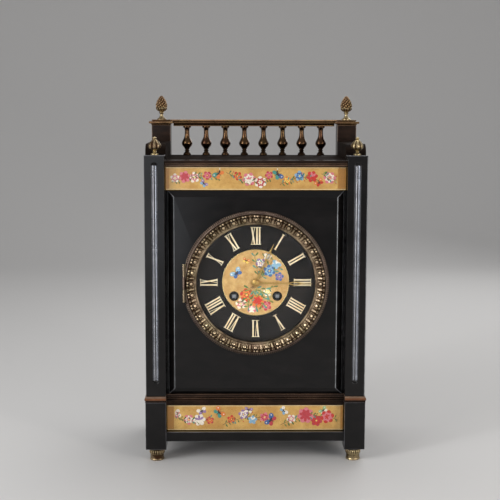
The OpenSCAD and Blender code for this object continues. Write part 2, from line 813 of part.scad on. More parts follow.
module slice(f0, f1) {
    translate([0, 0, f0]) linear_extrude(f1 - f0) children();
}

// An arbor between the plates: body radius, and pivots that run in both plates
module arbor(r) {
    bar(r, back_plate_f + plate_t + 0.2, front_plate_f - 0.2);
    bar(0.7, back_plate_f + 0.2, front_plate_f + plate_t - 0.2);
}

module centre_arbor() {
    pipe_f = dial_f + 2.7;
    color(brass) on_dial(centre_at) union() {
        bar(0.7, back_plate_f + 0.2, back_plate_f + 4);
        bar(1.5, back_plate_f + plate_t + 0.2, dial_f + 4.7);
        bar(2.2, front_plate_f + plate_t + 0.6, pipe_f);
        slice(18.2, 19.4) wheel(centre_n, centre_m, bearing(centre_at, third_at), 2.2, 3.4, 5);
        slice(20.6, 23) pinion(centre_pinion_n, inter_m, bearing(centre_at, inter_at));
        slice(49.2, 51.3) pinion(cannon_n, cannon_m, bearing(centre_at, minute_at));
    }
}

module minute_wheel() {
    color(brass) on_dial(minute_at) difference() {
        union() {
            slice(49.7, 50.8) wheel(motion_n, cannon_m, bearing(minute_at, centre_at), 2, 4.4, 4);
            slice(50.6, 54.2) pinion(minute_pinion_n, hour_m, bearing(minute_at, centre_at));
        }
        bar(1 + running, 49, 55);
    }
}

module hour_wheel() {
    color(brass) on_dial(centre_at) difference() {
        union() {
            slice(52.4, 53.5) wheel(motion_n, hour_m, bearing(centre_at, minute_at), 2, 4.6, 4);
            bar(3, 52.4, dial_f + 1.8);
        }
        bar(2.2 + running, 51, dial_f + 3);
    }
}

module intermediate_wheel() {
    color(brass) on_dial(inter_at) union() {
        arbor(1.2);
        slice(21.2, 22.4) wheel(inter_n, inter_m, bearing(inter_at, centre_at), 2.2, 3.2, 5);
        slice(41.8, 45.2) pinion(inter_pinion_n, great_m, bearing(inter_at, going_at));
    }
}

module third_wheel() {
    color(brass) on_dial(third_at) union() {
        arbor(0.9);
        slice(15.4, 16.6) wheel(third_n, third_m, bearing(third_at, escape_at), 2, 2.6, 5);
        slice(17.6, 20) pinion(third_pinion_n, centre_m, bearing(third_at, centre_at));
    }
}

module escape_wheel() {
    r = escape_r;
    points = [for (i = [0:escape_n - 1], p = [[r - 1.9, 0], [r, 5.6], [r, 6.4], [r - 1.9, 7.6]])
        let(a = 360 * i / escape_n + p.y) p.x * [cos(a), sin(a)]];
    color(brass) on_dial(escape_at) union() {
        arbor(0.85);
        slice(29.6, 30.8) {
            difference() {
                polygon(points);
                circle(r = r - 3.4);
            }
            for (k = [0:4]) rotate(72 * k) translate([0, -0.7]) square([r - 3, 1.4]);
            circle(r = 2.4);
        }
        slice(14.6, 17.2) pinion(escape_pinion_n, third_m, bearing(escape_at, third_at));
    }
}

drum_f0 = 24.4;
drum_f1 = 42.4;

module barrel(turn) {
    difference() {
        union() {
            bar(19.3, drum_f0, drum_f1);
            bar(20, drum_f0, drum_f0 + 1.4);
            slice(drum_f1 - 0.1, drum_f1 + 2.2)
                rotate(turn) polygon(tooth_points(great_n, great_m, 0.95, 1.5, 0.25, 0.75));
            bar(5, drum_f0 - 0.8, drum_f1 + 2.8);
        }
        bar(2.5 + running, drum_f0 - 2, drum_f1 + 4);
    }
}

module going_barrel() {
    color(brass) on_dial(going_at) barrel(bearing(going_at, inter_at));
}

module strike_barrel() {
    color(brass) on_dial(strike_at) barrel(0);
}

// Winding arbor with its ratchet in front of the plate and its square behind the dial
module winding_arbor() {
    side = 3.6;
    ratchet = [for (i = [0:ratchet_n - 1], p = [[ratchet_r, 0], [ratchet_r - 1.3, 1.2]])
        let(a = 360 * (i + p.y * 0.1) / ratchet_n) p.x * [cos(a), sin(a)]];
    bar(1.2, back_plate_f + 0.2, back_plate_f + 4);
    bar(2.5, back_plate_f + plate_t + 0.2, 51.5);
    slice(front_plate_f + plate_t + 0.4, front_plate_f + plate_t + 2.2) polygon(ratchet);
    slice(51, dial_f + 0.9) square(side, center = true);
}

module going_arbor() {
    color(steel) on_dial(going_at) winding_arbor();
}

module strike_arbor() {
    color(steel) on_dial(strike_at) winding_arbor();
}

// The click stands just clear of its ratchet, on its own stud
module click() {
    start = click_at;
    back = going_at - start;
    reach_in = norm(back) - ratchet_r - 0.35;
    on_dial(start) slice(front_plate_f + plate_t + 0.4, front_plate_f + plate_t + 2) difference() {
        union() {
            circle(r = 2.8);
            rotate(bearing(start, going_at)) polygon([[0, -2.6], [reach_in, 0.3], [reach_in - 0.4, 1.6],
                [0, 2.6]]);
        }
        circle(r = 1.2 + running);
    }
}

module going_click() {
    color(steel) click();
}

module strike_click() {
    color(steel) mirror([1, 0, 0]) click();
}

// Hands are drawn pointing up: a stem, a pierced pointed oval and a needle
module hand(hub, stem, oval0, oval1, tip) {
    wide = oval0 + 0.6 * (oval1 - oval0);
    right = [[1.2, hub], [stem, hub + 8], [0.55, oval0], [1.6, wide - 3.6], [2.1, wide],
        [1.7, wide + 2.4], [0.7, oval1], [0.4, oval1 + 2.5], [0.12, tip]];
    hole = [[0, oval0 + 1.8], [1.25, wide - 0.6], [1.05, wide + 1.6], [0, oval1 - 0.8]];
    difference() {
        union() {
            circle(r = hub + 0.8);
            polygon(concat(right, [for (i = [len(right) - 1:-1:0]) [-right[i].x, right[i].y]]));
        }
        polygon(concat(hole, [for (i = [2:-1:1]) [-hole[i].x, hole[i].y]]));
    }
}

module hour_hand() {
    f = dial_f + 1.1;
    color(brass) on_dial() rotate(-hour_angle) difference() {
        slice(f, f + 0.7) hand(3.8, 1.1, 22.4, 36, 43.7);
        bar(3, f - 1, f + 2);
    }
}

module minute_hand() {
    f = dial_f + 2.7;
    color(brass) on_dial() rotate(-minute_angle) difference() {
        slice(f, f + 0.6) hand(2.8, 0.8, 32.2, 46, 57.4);
        bar(1.5, f - 1, f + 2);
    }
}

module hand_collet() {
    f = dial_f + 3.3;
    color(gilt) on_dial() rotate_extrude() polygon([[1.5, f], [3.3, f], [3.2, f + 0.5], [2.5, f + 1],
        [1.5, f + 1.2]]);
}

// Anchor between the plates, and its crutch that reaches back to the pendulum's rod
module anchor() {
    right = [[0, 2.6], [4, 2.2], [8.6, -0.6], [9.2, -2.6], [7.2, -4.5], [6.2, -2.6], [3.4, -1.6]];
    outline = concat(right, [[0, -1.4]], [for (i = [len(right) - 1:-1:1]) [-right[i].x, right[i].y]]);
    color(steel) on_dial(pallet_at) union() {
        bar(0.6, 4.4, front_plate_f + plate_t - 0.2);
        bar(1, 6.2, front_plate_f - 0.2);
        slice(28.8, 31.6) polygon(outline);
        bar(2.3, 8.2, 10.2);
        block([-1, -26, 8.6], [1, 0, 9.6]);
        block([-2.2, -27, 8.6], [2.2, -25, 9.6]);
        for (side = [-1, 1]) block([side * 1.7 - 0.5, -27, -3], [side * 1.7 + 0.5, -25, 9.6]);
    }
}

rod_f = -1.8;

module pendulum_rod() {
    end = -pendulum_l - bob_r - 6;
    color(brass) on_dial(pallet_at) union() {
        bar(1, -3, 2);
        bar(2.4, -3, -1.2);
        block([-1.5, -16, -2.4], [1.5, 0, -1.4]);
        translate([0, end, rod_f]) rotate([-90, 0, 0]) cylinder(r = 1, h = -end - 14);
        translate([0, end, rod_f]) rotate([-90, 0, 0]) cylinder(r = 4, h = 2.4);
        translate([0, -pendulum_l - bob_r - 2.6, rod_f]) rotate([-90, 0, 0]) cylinder(r = 2.5, h = 2);
    }
}

module pendulum_bob() {
    side = [for (a = [0:10:80]) [bob_r * cos(a), 5.5 * sin(a)]];
    outline = concat([for (i = [len(side) - 1:-1:0]) [side[i].x, -side[i].y - 0.4]],
        [for (p = side) [p.x, p.y + 0.4]], [[0, 5.9], [0, -5.9]]);
    color(brass) on_dial([pallet_at.x, pallet_at.y - pendulum_l]) translate([0, 0, rod_f]) difference() {
        rotate_extrude() polygon(outline);
        translate([0, -bob_r - 1, 0]) rotate([-90, 0, 0]) cylinder(r = 1.03, h = 2 * bob_r + 2);
    }
}

module hammer() {
    head_r = 4.2;
    head_at = bell_at + (bell_r + head_r + 0.8) * [cos(195), sin(195)] - hammer_at;
    color(steel) on_dial(hammer_at) union() {
        bar(1.2, -13.5, front_plate_f + plate_t - 0.2);
        bar(2.6, -13.5, -9.5);
        rotate(bearing([0, 0], head_at)) block([0, -1.1, -12.8], [norm(head_at), 1.1, -11.2]);
        translate([head_at.x, head_at.y, 0]) bar(head_r, -15.5, -8.5);
    }
}

base_slab();
pedestals();
post_bands();
front_left_post();
front_right_post();
rear_left_post();
rear_right_post();
feet();
front_slab();
lower_moulding();
left_side_panel();
right_side_panel();
back_panel();
top_slab();
cornice();
upper_tile();
lower_tile();
left_cheek();
right_cheek();
rear_caps();
gallery_rail();
balusters();
pineapple_finials();
front_finials();
dial_ring();
dial_plate();
dial_gilding();
winding_collets();
hinge_pins();
front_plate();
back_plate();
plate_pillars();
case_straps();
strap_screws();
back_ring();
suspension_cock();
bell_stand();
bell();
bezel();
bezel_glass();
back_door();
centre_arbor();
minute_hand();
hand_collet();
hour_wheel();
hour_hand();
minute_wheel();
intermediate_wheel();
third_wheel();
escape_wheel();
going_barrel();
going_arbor();
going_click();
strike_barrel();
strike_arbor();
strike_click();
anchor();
pendulum_rod();
pendulum_bob();
hammer();
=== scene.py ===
# %% [markdown]
# # A slate mantel clock
# The clock is a polished black case on four turned feet, with a gallery on top, two painted
# tiles, a relief bezel and a black dial with gilt numerals. The solids come packed as a fixed
# frame, in metres, with the dial facing -Y. This lesson dresses that frame: it rounds the cut
# edges, adds the ornament and gives every surface a finish made of nodes.

# %% Load the frame
import json
import random
from contextlib import contextmanager
from math import atan2, copysign, cos, pi, radians, sin, sqrt

import bmesh
import bpy
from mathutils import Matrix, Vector

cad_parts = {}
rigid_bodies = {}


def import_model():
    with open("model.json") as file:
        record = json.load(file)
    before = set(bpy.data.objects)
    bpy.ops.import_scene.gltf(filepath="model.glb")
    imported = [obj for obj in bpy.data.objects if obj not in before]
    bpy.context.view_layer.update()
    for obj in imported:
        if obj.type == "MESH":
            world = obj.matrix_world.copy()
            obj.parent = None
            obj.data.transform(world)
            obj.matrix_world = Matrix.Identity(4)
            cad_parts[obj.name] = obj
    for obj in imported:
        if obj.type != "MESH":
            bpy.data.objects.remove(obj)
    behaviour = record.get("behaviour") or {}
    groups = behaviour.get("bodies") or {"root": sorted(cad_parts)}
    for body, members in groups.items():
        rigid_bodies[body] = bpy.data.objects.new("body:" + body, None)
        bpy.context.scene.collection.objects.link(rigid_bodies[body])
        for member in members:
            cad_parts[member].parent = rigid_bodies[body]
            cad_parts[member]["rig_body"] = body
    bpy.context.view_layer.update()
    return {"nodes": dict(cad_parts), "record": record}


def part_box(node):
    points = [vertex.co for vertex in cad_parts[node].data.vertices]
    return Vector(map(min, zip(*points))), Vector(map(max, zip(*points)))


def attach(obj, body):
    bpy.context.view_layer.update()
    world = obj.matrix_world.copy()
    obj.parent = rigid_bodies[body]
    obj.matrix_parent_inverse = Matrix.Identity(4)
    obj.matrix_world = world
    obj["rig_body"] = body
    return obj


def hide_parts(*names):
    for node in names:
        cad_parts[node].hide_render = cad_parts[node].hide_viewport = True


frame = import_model()
nodes = frame["nodes"]
scene = bpy.context.scene
print("solids loaded:", len(nodes))

# %% [markdown]
# ## Where things stand
# Everything round the dial shares one axis. A maker thinks of that work as drawn on the dial's
# face: x across, y up and f forwards from the middle of the case. One helper turns such a point
# in millimetres into the scene's metres, and a second does it for work that stands upright. A
# third stands turned work on a corner post, since feet and finials sit on the posts' axes.

# %% Places in millimetres
MM = 0.001
DIAL_Z = 186
PEDESTAL_OUT = 0.75
POST_HALF = 10.25


def on_dial(x, y, f):
    return (x * MM, -f * MM, (DIAL_Z + y) * MM)


def upright(x, y, z):
    return (x * MM, y * MM, z * MM)


low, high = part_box("pedestals")
post_x = max(high.x, -low.x) / MM - PEDESTAL_OUT - POST_HALF
post_y = high.y / MM - PEDESTAL_OUT - POST_HALF


def on_corner(side, end):
    """Side 1 is the right and end 1 the rear; heights are counted from the ground."""
    return lambda x, y, h: upright(side * post_x + x, end * post_y + y, h)


print("post axes at", round(post_x, 2), "across and", round(post_y, 2), "deep")

# %% [markdown]
# ## Small helpers for meshes
# A mesh is a list of points and a list of faces. Two short helpers put an object into the scene
# and open a mesh for work. The third makes a piece of points and faces: it merges doubled
# points, turns all faces outwards and marks the sharp edges. A value per point, called recess,
# says how deep in the ornament the point lies, and on the feet and balusters also where painted
# shade falls. The finishes read it later to keep the dark patina in the hollows and the bright
# metal on the high places, as handling does, and to darken the painted shade.

# %% Make a piece from points and faces
def in_scene(name, data):
    made = bpy.data.objects.new(name, data)
    scene.collection.objects.link(made)
    return made


@contextmanager
def on_bench(mesh, source=None):
    """Opens a mesh, or a copy of the source, and writes the work back when it is done."""
    work = bmesh.new()
    work.from_mesh(mesh if source is None else source)
    yield work
    work.to_mesh(mesh)
    work.free()


def make_piece(name, points, faces, material, sharp=40, recess=None, merge=1e-7):
    mesh = bpy.data.meshes.new(name)
    mesh.from_pydata(points, [], faces)
    if recess:
        depth = mesh.attributes.new("recess", "FLOAT", "POINT")
        depth.data.foreach_set("value", recess)
    with on_bench(mesh) as work:
        bmesh.ops.remove_doubles(work, verts=work.verts, dist=merge)
        bmesh.ops.recalc_face_normals(work, faces=work.faces)
    mesh.materials.append(material)
    mesh.shade_smooth()
    mesh.set_sharp_from_angle(angle=radians(sharp))
    return in_scene(name, mesh)


def settle(piece):
    """Turns the result of the modifiers into the piece's own mesh."""
    graph = bpy.context.evaluated_depsgraph_get()
    done = bpy.data.meshes.new_from_object(piece.evaluated_get(graph), depsgraph=graph)
    piece.modifiers.clear()
    piece.data = done
    return piece


def fit(piece, body, slot, *replaced):
    """The piece rides on a body and may stand for solids of the frame."""
    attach(piece, body)
    if replaced:
        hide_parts(*replaced)
    return piece


print("helpers: in_scene, on_bench, make_piece, settle, fit")

# %% [markdown]
# ## The lathe
# Feet, finials, balusters and the bezel are turned on a lathe. A lathe piece is a profile of
# radius and height, swept round an axis. The sweep could be Blender's Screw modifier, but the
# lobes of the feet and of the acorns change the radius as the piece turns, so a short loop is
# used instead, with a carve function that may change the radius at each angle.

# %% Sweep a profile round an axis
ON_AXIS = 1e-6


def lathe(profile, steps, place, carve=None, loop=False):
    points, faces, rows = [], [], []
    for r, h in profile:
        if r < ON_AXIS:
            rows.append([len(points)] * steps)
            points.append(place(0, 0, h))
            continue
        rows.append(list(range(len(points), len(points) + steps)))
        for i in range(steps):
            turn = 2 * pi * i / steps
            out = r + (carve(r, h, turn) if carve else 0)
            points.append(place(out * cos(turn), out * sin(turn), h))
    pairs = list(zip(rows, rows[1:])) + ([(rows[-1], rows[0])] if loop else [])
    for under, over in pairs:
        for i in range(steps):
            k = (i + 1) % steps
            corners = [under[i], under[k], over[k], over[i]]
            corners = [c for n, c in enumerate(corners) if c not in corners[:n]]
            if len(corners) > 2:
                faces.append(corners)
    return points, faces


def smooth_curve(knots, parts):
    """A smooth line through the knots, with so many parts between two of them."""
    line = []
    for i in range(len(knots) - 1):
        a, b = knots[max(i - 1, 0)], knots[i]
        c, d = knots[i + 1], knots[min(i + 2, len(knots) - 1)]
        for k in range(parts):
            t = k / parts
            line.append(tuple((2 * q + (r - p) * t + (2 * p - 5 * q + 4 * r - s) * t * t
                               + (3 * q - p - 3 * r + s) * t ** 3) / 2
                              for p, q, r, s in zip(a, b, c, d)))
    return line + [tuple(knots[-1])]


def joined(*parts):
    """Several lists of points and faces as one."""
    points, faces = [], []
    for more_points, more_faces in parts:
        start = len(points)
        points += more_points
        faces += [[start + c for c in face] for face in more_faces]
    return points, faces


print("a test bead has", len(lathe([(0, 0), (1, 1), (0, 2)], 12, upright)[1]), "faces")

# %% [markdown]
# ## Node trees, built in the script
# A node tree is easier to read when adding a node takes one line. The first helper adds a node,
# sets its choices and fills its inputs with values or with the outputs of other nodes. The rest
# are the few nodes that come back in every finish: noise, a stretched range, a blend of two
# colours and a sum. The scale of a noise counts per metre, because the scene is in metres.

# %% Add a node in one line
def add(tree, kind, inputs=None, **choices):
    node = tree.nodes.new(kind)
    for choice, value in choices.items():
        setattr(node, choice, value)
    for key, value in (inputs or {}).items():
        if isinstance(value, bpy.types.NodeSocket):
            tree.links.new(value, node.inputs[key])
        else:
            node.inputs[key].default_value = value
    return node


def socketed(tree, side, sockets):
    """Gives a tree its named inputs or outputs; returns their identifiers by name."""
    made = {}
    for name, kind, *value in sockets:
        item = tree.interface.new_socket(name, in_out=side, socket_type="NodeSocket" + kind)
        if value:
            item.default_value = value[0]
        made[name] = item.identifier
    return made


def preset(node, values):
    for name, value in values.items():
        node.inputs[name].default_value = value


def math_node(tree, operation, a, b=0.5, c=0.5, clamp=False):
    return add(tree, "ShaderNodeMath", {0: a, 1: b, 2: c}, operation=operation,
               use_clamp=clamp).outputs[0]


def vector_node(tree, operation, inputs, output=0):
    return add(tree, "ShaderNodeVectorMath", inputs, operation=operation).outputs[output]


def noise(tree, place, scale, detail=2.0, **more):
    return add(tree, "ShaderNodeTexNoise",
               {"Vector": place, "Scale": scale, "Detail": detail, **more}).outputs[0]


def stretch(tree, value, low, high, to_low=0.0, to_high=1.0):
    """Maps low..high to to_low..to_high and cuts off what lies outside."""
    return add(tree, "ShaderNodeMapRange",
               {0: value, 1: low, 2: high, 3: to_low, 4: to_high}).outputs[0]


def blend(tree, mask, first, second):
    """The first colour where the mask is 0 and the second where it is 1."""
    return add(tree, "ShaderNodeMix", {0: mask, 6: first, 7: second},
               data_type="RGBA").outputs[2]


print("helpers: add, socketed, preset, math_node, vector_node, noise, stretch, blend")

# %% [markdown]
# ## Colours
# The finishes are written as they look on a screen, from 0 to 255. Blender works in linear
# light, so one helper converts them.

# %% Screen colours to linear light
def tone(red, green, blue):
    return tuple((c / 255 / 12.92) if c < 11 else ((c / 255 + 0.055) / 1.055) ** 2.4
                 for c in (red, green, blue)) + (1.0,)


print("the tiles' gold in linear light:", [round(c, 3) for c in tone(228, 188, 108)])

# %% [markdown]
# ## Effects that several finishes share
# Three effects come back in many materials, so each is a node group that is built once.
# *Aged metal* mixes bright metal with dark patina: by the recess value, by large cloudy patches
# and by a fine speckle, and its hue drifts a little between greenish and reddish brown.
# *Polished stone* mottles a colour and leaves faint smudges in the polish. *Turning marks* draws
# the fine rings that a lathe leaves round the dial's axis. The groups give out only colours and
# values. The shader itself stays in each material. One helper opens a group with its sockets,
# of which the place on the piece is always the first.

# %% Group: aged metal
SURFACE = [("Colour", "Color"), ("Roughness", "Float"), ("Height", "Float")]


def open_group(name, outputs, *inputs):
    tree = bpy.data.node_groups.new(name, "ShaderNodeTree")
    socketed(tree, "INPUT", [("Place", "Vector"), *inputs])
    socketed(tree, "OUTPUT", outputs)
    given = add(tree, "NodeGroupInput").outputs
    return tree, given, given["Place"]


def aged_metal_group():
    tree, given, place = open_group(
        "aged metal", SURFACE, ("Recess", "Float", 0.0), ("Bright", "Color"), ("Dark", "Color"),
        ("Patches", "Float", 0.4), ("Polish", "Float", 0.25))
    cloudy = stretch(tree, noise(tree, place, 85.0, 5.0, Roughness=0.62), 0.38, 0.66)
    cloudy = math_node(tree, "MULTIPLY", cloudy, given["Patches"])
    speckle = noise(tree, place, 1300.0, 3.0)
    grainy = stretch(tree, speckle, 0.45, 0.7, to_high=0.22)
    worn = math_node(tree, "ADD", given["Recess"], cloudy)
    mask = math_node(tree, "ADD", worn, grainy, clamp=True)
    colour = blend(tree, mask, given["Bright"], given["Dark"])
    drift = math_node(tree, "MULTIPLY_ADD", noise(tree, place, 60.0, 3.0), 0.07, 0.465)
    colour = add(tree, "ShaderNodeHueSaturation", {"Color": colour, "Hue": drift}).outputs[0]
    rough = math_node(tree, "MULTIPLY_ADD", mask, 0.3, given["Polish"])
    add(tree, "NodeGroupOutput", {"Colour": colour, "Roughness": rough, "Height": speckle})
    return tree


aged_metal = aged_metal_group()
print("group:", aged_metal.name, [n.bl_label for n in aged_metal.nodes])

# %% Group: polished stone
def polished_stone_group():
    tree, given, place = open_group(
        "polished stone", SURFACE, ("Deep", "Color"), ("Pale", "Color"),
        ("Polish", "Float", 0.14), ("Smudges", "Float", 0.14))
    bedded = add(tree, "ShaderNodeMapping", {"Vector": place, "Scale": (1.0, 1.0, 2.6)})
    mottle = noise(tree, bedded.outputs[0], 45.0, 8.0, Roughness=0.7)
    colour = blend(tree, stretch(tree, mottle, 0.42, 0.72), given["Deep"], given["Pale"])
    smear = stretch(tree, noise(tree, place, 14.0, 4.0, Distortion=0.8), 0.4, 0.75)
    rough = math_node(tree, "MULTIPLY_ADD", smear, given["Smudges"], given["Polish"])
    pits = noise(tree, place, 420.0, 3.0)
    add(tree, "NodeGroupOutput", {"Colour": colour, "Roughness": rough, "Height": pits})
    return tree


polished_stone = polished_stone_group()
print("group:", polished_stone.name, [n.bl_label for n in polished_stone.nodes])

# %% Group: turning marks
def turning_marks_group():
    tree, given, place = open_group("turning marks", [("Lines", "Float"), ("Radius", "Float")],
                                    ("Pitch", "Float", 900.0))
    centred = vector_node(tree, "SUBTRACT", {0: place, 1: on_dial(0, 0, 0)})
    flat = vector_node(tree, "MULTIPLY", {0: centred, 1: (1, 0, 1)})
    radius = vector_node(tree, "LENGTH", {0: flat}, "Value")
    rings = add(tree, "ShaderNodeTexNoise",
                {"W": radius, "Scale": given["Pitch"], "Detail": 2.0}, noise_dimensions="1D")
    add(tree, "NodeGroupOutput", {"Lines": rings.outputs[0], "Radius": radius})
    return tree


turning_marks = turning_marks_group()
print("group:", turning_marks.name, [n.bl_label for n in turning_marks.nodes])

# %% [markdown]
# ## The finishes
# Each finish is a material with one Principled shader. Its group feeds colour and roughness,
# and a Bump node takes the height. Distances are true: a bump of 0.02 mm is what a thumb
# would just feel. A finish differs from its neighbours only in a few numbers, so one function
# makes them all, and two short ones say what stone and metal have in common.

# %% A material with a group in it
def new_material(name):
    """A material with its tree, its Principled shader and the place on the piece."""
    material = bpy.data.materials.new(name)
    material.use_nodes = True
    tree = material.node_tree
    place = add(tree, "ShaderNodeTexCoord").outputs["Object"]
    return material, tree, tree.nodes["Principled BSDF"], place


def feed(tree, shader, colour, rough, height, bump, constants):
    """Leads colour, roughness and a relief of bump millimetres into the shader."""
    relief = add(tree, "ShaderNodeBump", {"Height": height, "Distance": bump * MM})
    tree.links.new(colour, shader.inputs["Base Color"])
    tree.links.new(rough, shader.inputs["Roughness"])
    tree.links.new(relief.outputs[0], shader.inputs["Normal"])
    preset(shader, constants)


def finish(name, group, bump, constants, turned=None, recess=False, **values):
    material, tree, shader, place = new_material(name)
    effect = add(tree, "ShaderNodeGroup", {"Place": place, **values}, node_tree=group)
    if recess:
        depth = add(tree, "ShaderNodeAttribute", attribute_name="recess")
        tree.links.new(depth.outputs["Fac"], effect.inputs["Recess"])
    height = effect.outputs["Height"]
    if turned:
        marks = add(tree, "ShaderNodeGroup", {"Place": place, "Pitch": turned},
                    node_tree=turning_marks)
        height = math_node(tree, "ADD", height, marks.outputs["Lines"])
    feed(tree, shader, effect.outputs["Colour"], effect.outputs["Roughness"], height, bump,
         constants)
    return material


print("helpers: new_material, feed, finish")

# %% Stone finishes
def stone(name, deep, pale, polish, smudges, bump=0.006, mirror=0.5, metal=0.0):
    """Mirror is the strength of the reflection that a plain stone has at 0.5."""
    return finish(name, polished_stone, bump, {"Specular IOR Level": mirror, "Metallic": metal},
                  Deep=tone(*deep), Pale=tone(*pale), Polish=polish, Smudges=smudges)


slate = stone("polished black slate", (12, 11, 11), (23, 20, 20), 0.12, 0.1, 0.004, mirror=0.26)
brown_slate = stone("polished brown-black slate", (28, 19, 14), (50, 34, 25), 0.22, 0.14,
                    mirror=0.1)
dull_slate = stone("dusty slate of the top", (22, 16, 13), (40, 30, 24), 0.6, 0.2, 0.01,
                   mirror=0.02)
band_slate = stone("brown band slate", (92, 56, 34), (134, 86, 52), 0.2, 0.14, mirror=0.26)
# Paler edge materials: painted highlights along the rounded edges, with some wear of the stain
grey_edge_highlight = stone("painted grey edge highlight", (62, 61, 64), (104, 103, 107), 0.25, 0.2, 0.01)
pale_edge_highlight = stone("painted pale edge highlight", (104, 106, 108), (150, 152, 155), 0.25, 0.2, 0.01)
brown_edge_highlight = stone("painted brown edge highlight", (92, 70, 54), (138, 108, 84), 0.25, 0.2, 0.01)
# A pale metal finish for the flute walls: a painted sheen that mirrors the lamps as bright lines
flute_sheen = stone("painted sheen of the flute walls", (128, 130, 136), (158, 160, 166), 0.24, 0.1, 0.004,
                   metal=0.9)
print("stone finishes:", [m.name for m in bpy.data.materials])

# %% Metal finishes
def metal(name, bright, dark, patches, polish, bump=0.03, recess=True, share=1.0, turned=None):
    """Share is how far the surface is bare metal; turned is the pitch of its lathe rings."""
    return finish(name, aged_metal, bump, {"Metallic": share}, turned, recess,
                  Bright=tone(*bright), Dark=tone(*dark), Patches=patches, Polish=polish)


brass = metal("aged brass", (230, 213, 164), (70, 57, 33), 0.35, 0.15)
grey_brass = metal("rubbed grey brass", (152, 132, 117), (58, 47, 41), 0.3, 0.24, 0.02)
bezel_brass = metal("darkened brass of the bezel", (226, 202, 166), (64, 48, 34), 0.4, 0.18)
finial_brass = metal("browned brass of the finials", (196, 176, 136), (66, 47, 31), 0.75, 0.26)
bronze = metal("patinated bronze", (98, 73, 51), (32, 21, 15), 0.5, 0.12)
rail_bronze = metal("browned rail", (128, 99, 68), (50, 36, 25), 0.5, 0.16, 0.015)
gallery_brass = metal("browned gallery brass", (204, 168, 120), (40, 26, 18), 0.25, 0.2)
hand_gilt = metal("gilt of the hands", (214, 176, 108), (112, 78, 42), 0.3, 0.25, 0.01, False)
movement_brass = metal("grained movement brass", (216, 180, 104), (150, 110, 58), 0.25, 0.28,
                       0.01, False, turned=900.0)
steel = metal("polished steel", (176, 178, 182), (96, 94, 92), 0.25, 0.24, 0.006, False)
bell_metal = metal("turned bell metal", (206, 190, 150), (134, 112, 74), 0.3, 0.22,
                   0.012, False, turned=1400.0)
black_collet = metal("blackened collet", (40, 36, 32), (14, 12, 11), 0.4, 0.3, 0.01, False,
                     share=0.6)
print("finishes so far:", len(bpy.data.materials))

# %% [markdown]
# ## Dial paint, dial gilding, glass and painted gold ground
# The dial plate is matt black paint over a disc. One solid carries both the numerals and the
# centre disc, so their shared gilding tells them apart by the distance from the dial's middle:
# pale leaf on the numerals, a warmer gold ground inside. The glass is clear with a plain
# Transmission; its shadow ray goes to a transparent shader, so that the dial is lit through it.
# The tiles have a stippled gold ground, and their enamel takes each dab's colour from a value
# that the painted mesh carries.

# %% Dial paint
def dial_paint():
    material, tree, shader, place = new_material("matt black dial paint")
    age = stretch(tree, noise(tree, place, 55.0, 7.0, Roughness=0.68), 0.4, 0.72)
    feed(tree, shader, blend(tree, age, tone(17, 15, 16), tone(33, 27, 25)),
         math_node(tree, "MULTIPLY_ADD", age, 0.15, 0.42), noise(tree, place, 1500.0), 0.01,
         {"Specular IOR Level": 0.2})
    return material


dial_black = dial_paint()
print("dial:", dial_black.name)

# %% Gilding of the dial
GILT_EDGE = 34.5, 35.5


def dial_gilt():
    material, tree, shader, place = new_material("gilding of the dial")
    marks = add(tree, "ShaderNodeGroup", {"Place": place, "Pitch": 700.0},
                node_tree=turning_marks).outputs
    outside = stretch(tree, marks["Radius"], GILT_EDGE[0] * MM, GILT_EDGE[1] * MM)
    clouds = stretch(tree, noise(tree, place, 120.0, 6.0, Roughness=0.65), 0.35, 0.7)
    ground = blend(tree, clouds, tone(216, 178, 118), tone(180, 134, 78))
    leaf = blend(tree, clouds, tone(250, 236, 206), tone(228, 198, 146))
    feed(tree, shader, blend(tree, outside, ground, leaf),
         math_node(tree, "MULTIPLY_ADD", clouds, 0.16, 0.3), marks["Lines"], 0.006,
         {"Metallic": 0.45})
    return material


gilding = dial_gilt()
print("dial:", gilding.name)

# %% Clear glass
def clear_glass():
    material = bpy.data.materials.new("bevelled clear glass")
    material.use_nodes = True
    tree = material.node_tree
    shader = tree.nodes["Principled BSDF"]
    preset(shader, {"Base Color": (0.97, 0.985, 0.975, 1), "Roughness": 0.0,
                    "Transmission Weight": 1.0, "IOR": 1.2})
    through = add(tree, "ShaderNodeBsdfTransparent")
    shadow = add(tree, "ShaderNodeLightPath").outputs["Is Shadow Ray"]
    mixed = add(tree, "ShaderNodeMixShader",
                {0: shadow, 1: shader.outputs[0], 2: through.outputs[0]})
    tree.links.new(mixed.outputs[0], tree.nodes["Material Output"].inputs["Surface"])
    return material


glass = clear_glass()
print("glass:", glass.name)

# %% Gold ground of the tiles
def tile_ground():
    material, tree, shader, place = new_material("gold ground of the tiles")
    clouds = stretch(tree, noise(tree, place, 60.0, 6.0, Roughness=0.7), 0.34, 0.7)
    stipple = noise(tree, place, 900.0, 4.0)
    mask = math_node(tree, "MULTIPLY_ADD", stipple, 0.5, clouds, clamp=True)
    feed(tree, shader, blend(tree, mask, tone(228, 188, 108), tone(192, 144, 74)),
         math_node(tree, "MULTIPLY_ADD", stipple, 0.2, 0.2), stipple, 0.02,
         {"Metallic": 0.2, "Coat Weight": 0.4, "Coat Roughness": 0.08})
    return material


gold_ground = tile_ground()
print("tiles:", gold_ground.name)

# %% Enamel paint
def enamel_paint():
    material, tree, shader, place = new_material("painted enamel")
    paint = add(tree, "ShaderNodeAttribute", attribute_name="paint").outputs["Color"]
    brush = noise(tree, place, 1100.0, 4.0, Distortion=1.5)
    shaded = vector_node(tree, "SCALE",
                         {0: paint, "Scale": stretch(tree, brush, 0.3, 0.7, 0.72, 1.12)})
    feed(tree, shader, shaded, math_node(tree, "MULTIPLY_ADD", brush, 0.2, 0.22),
         brush, 0.02, {"Coat Weight": 0.4, "Coat Roughness": 0.1})
    return material


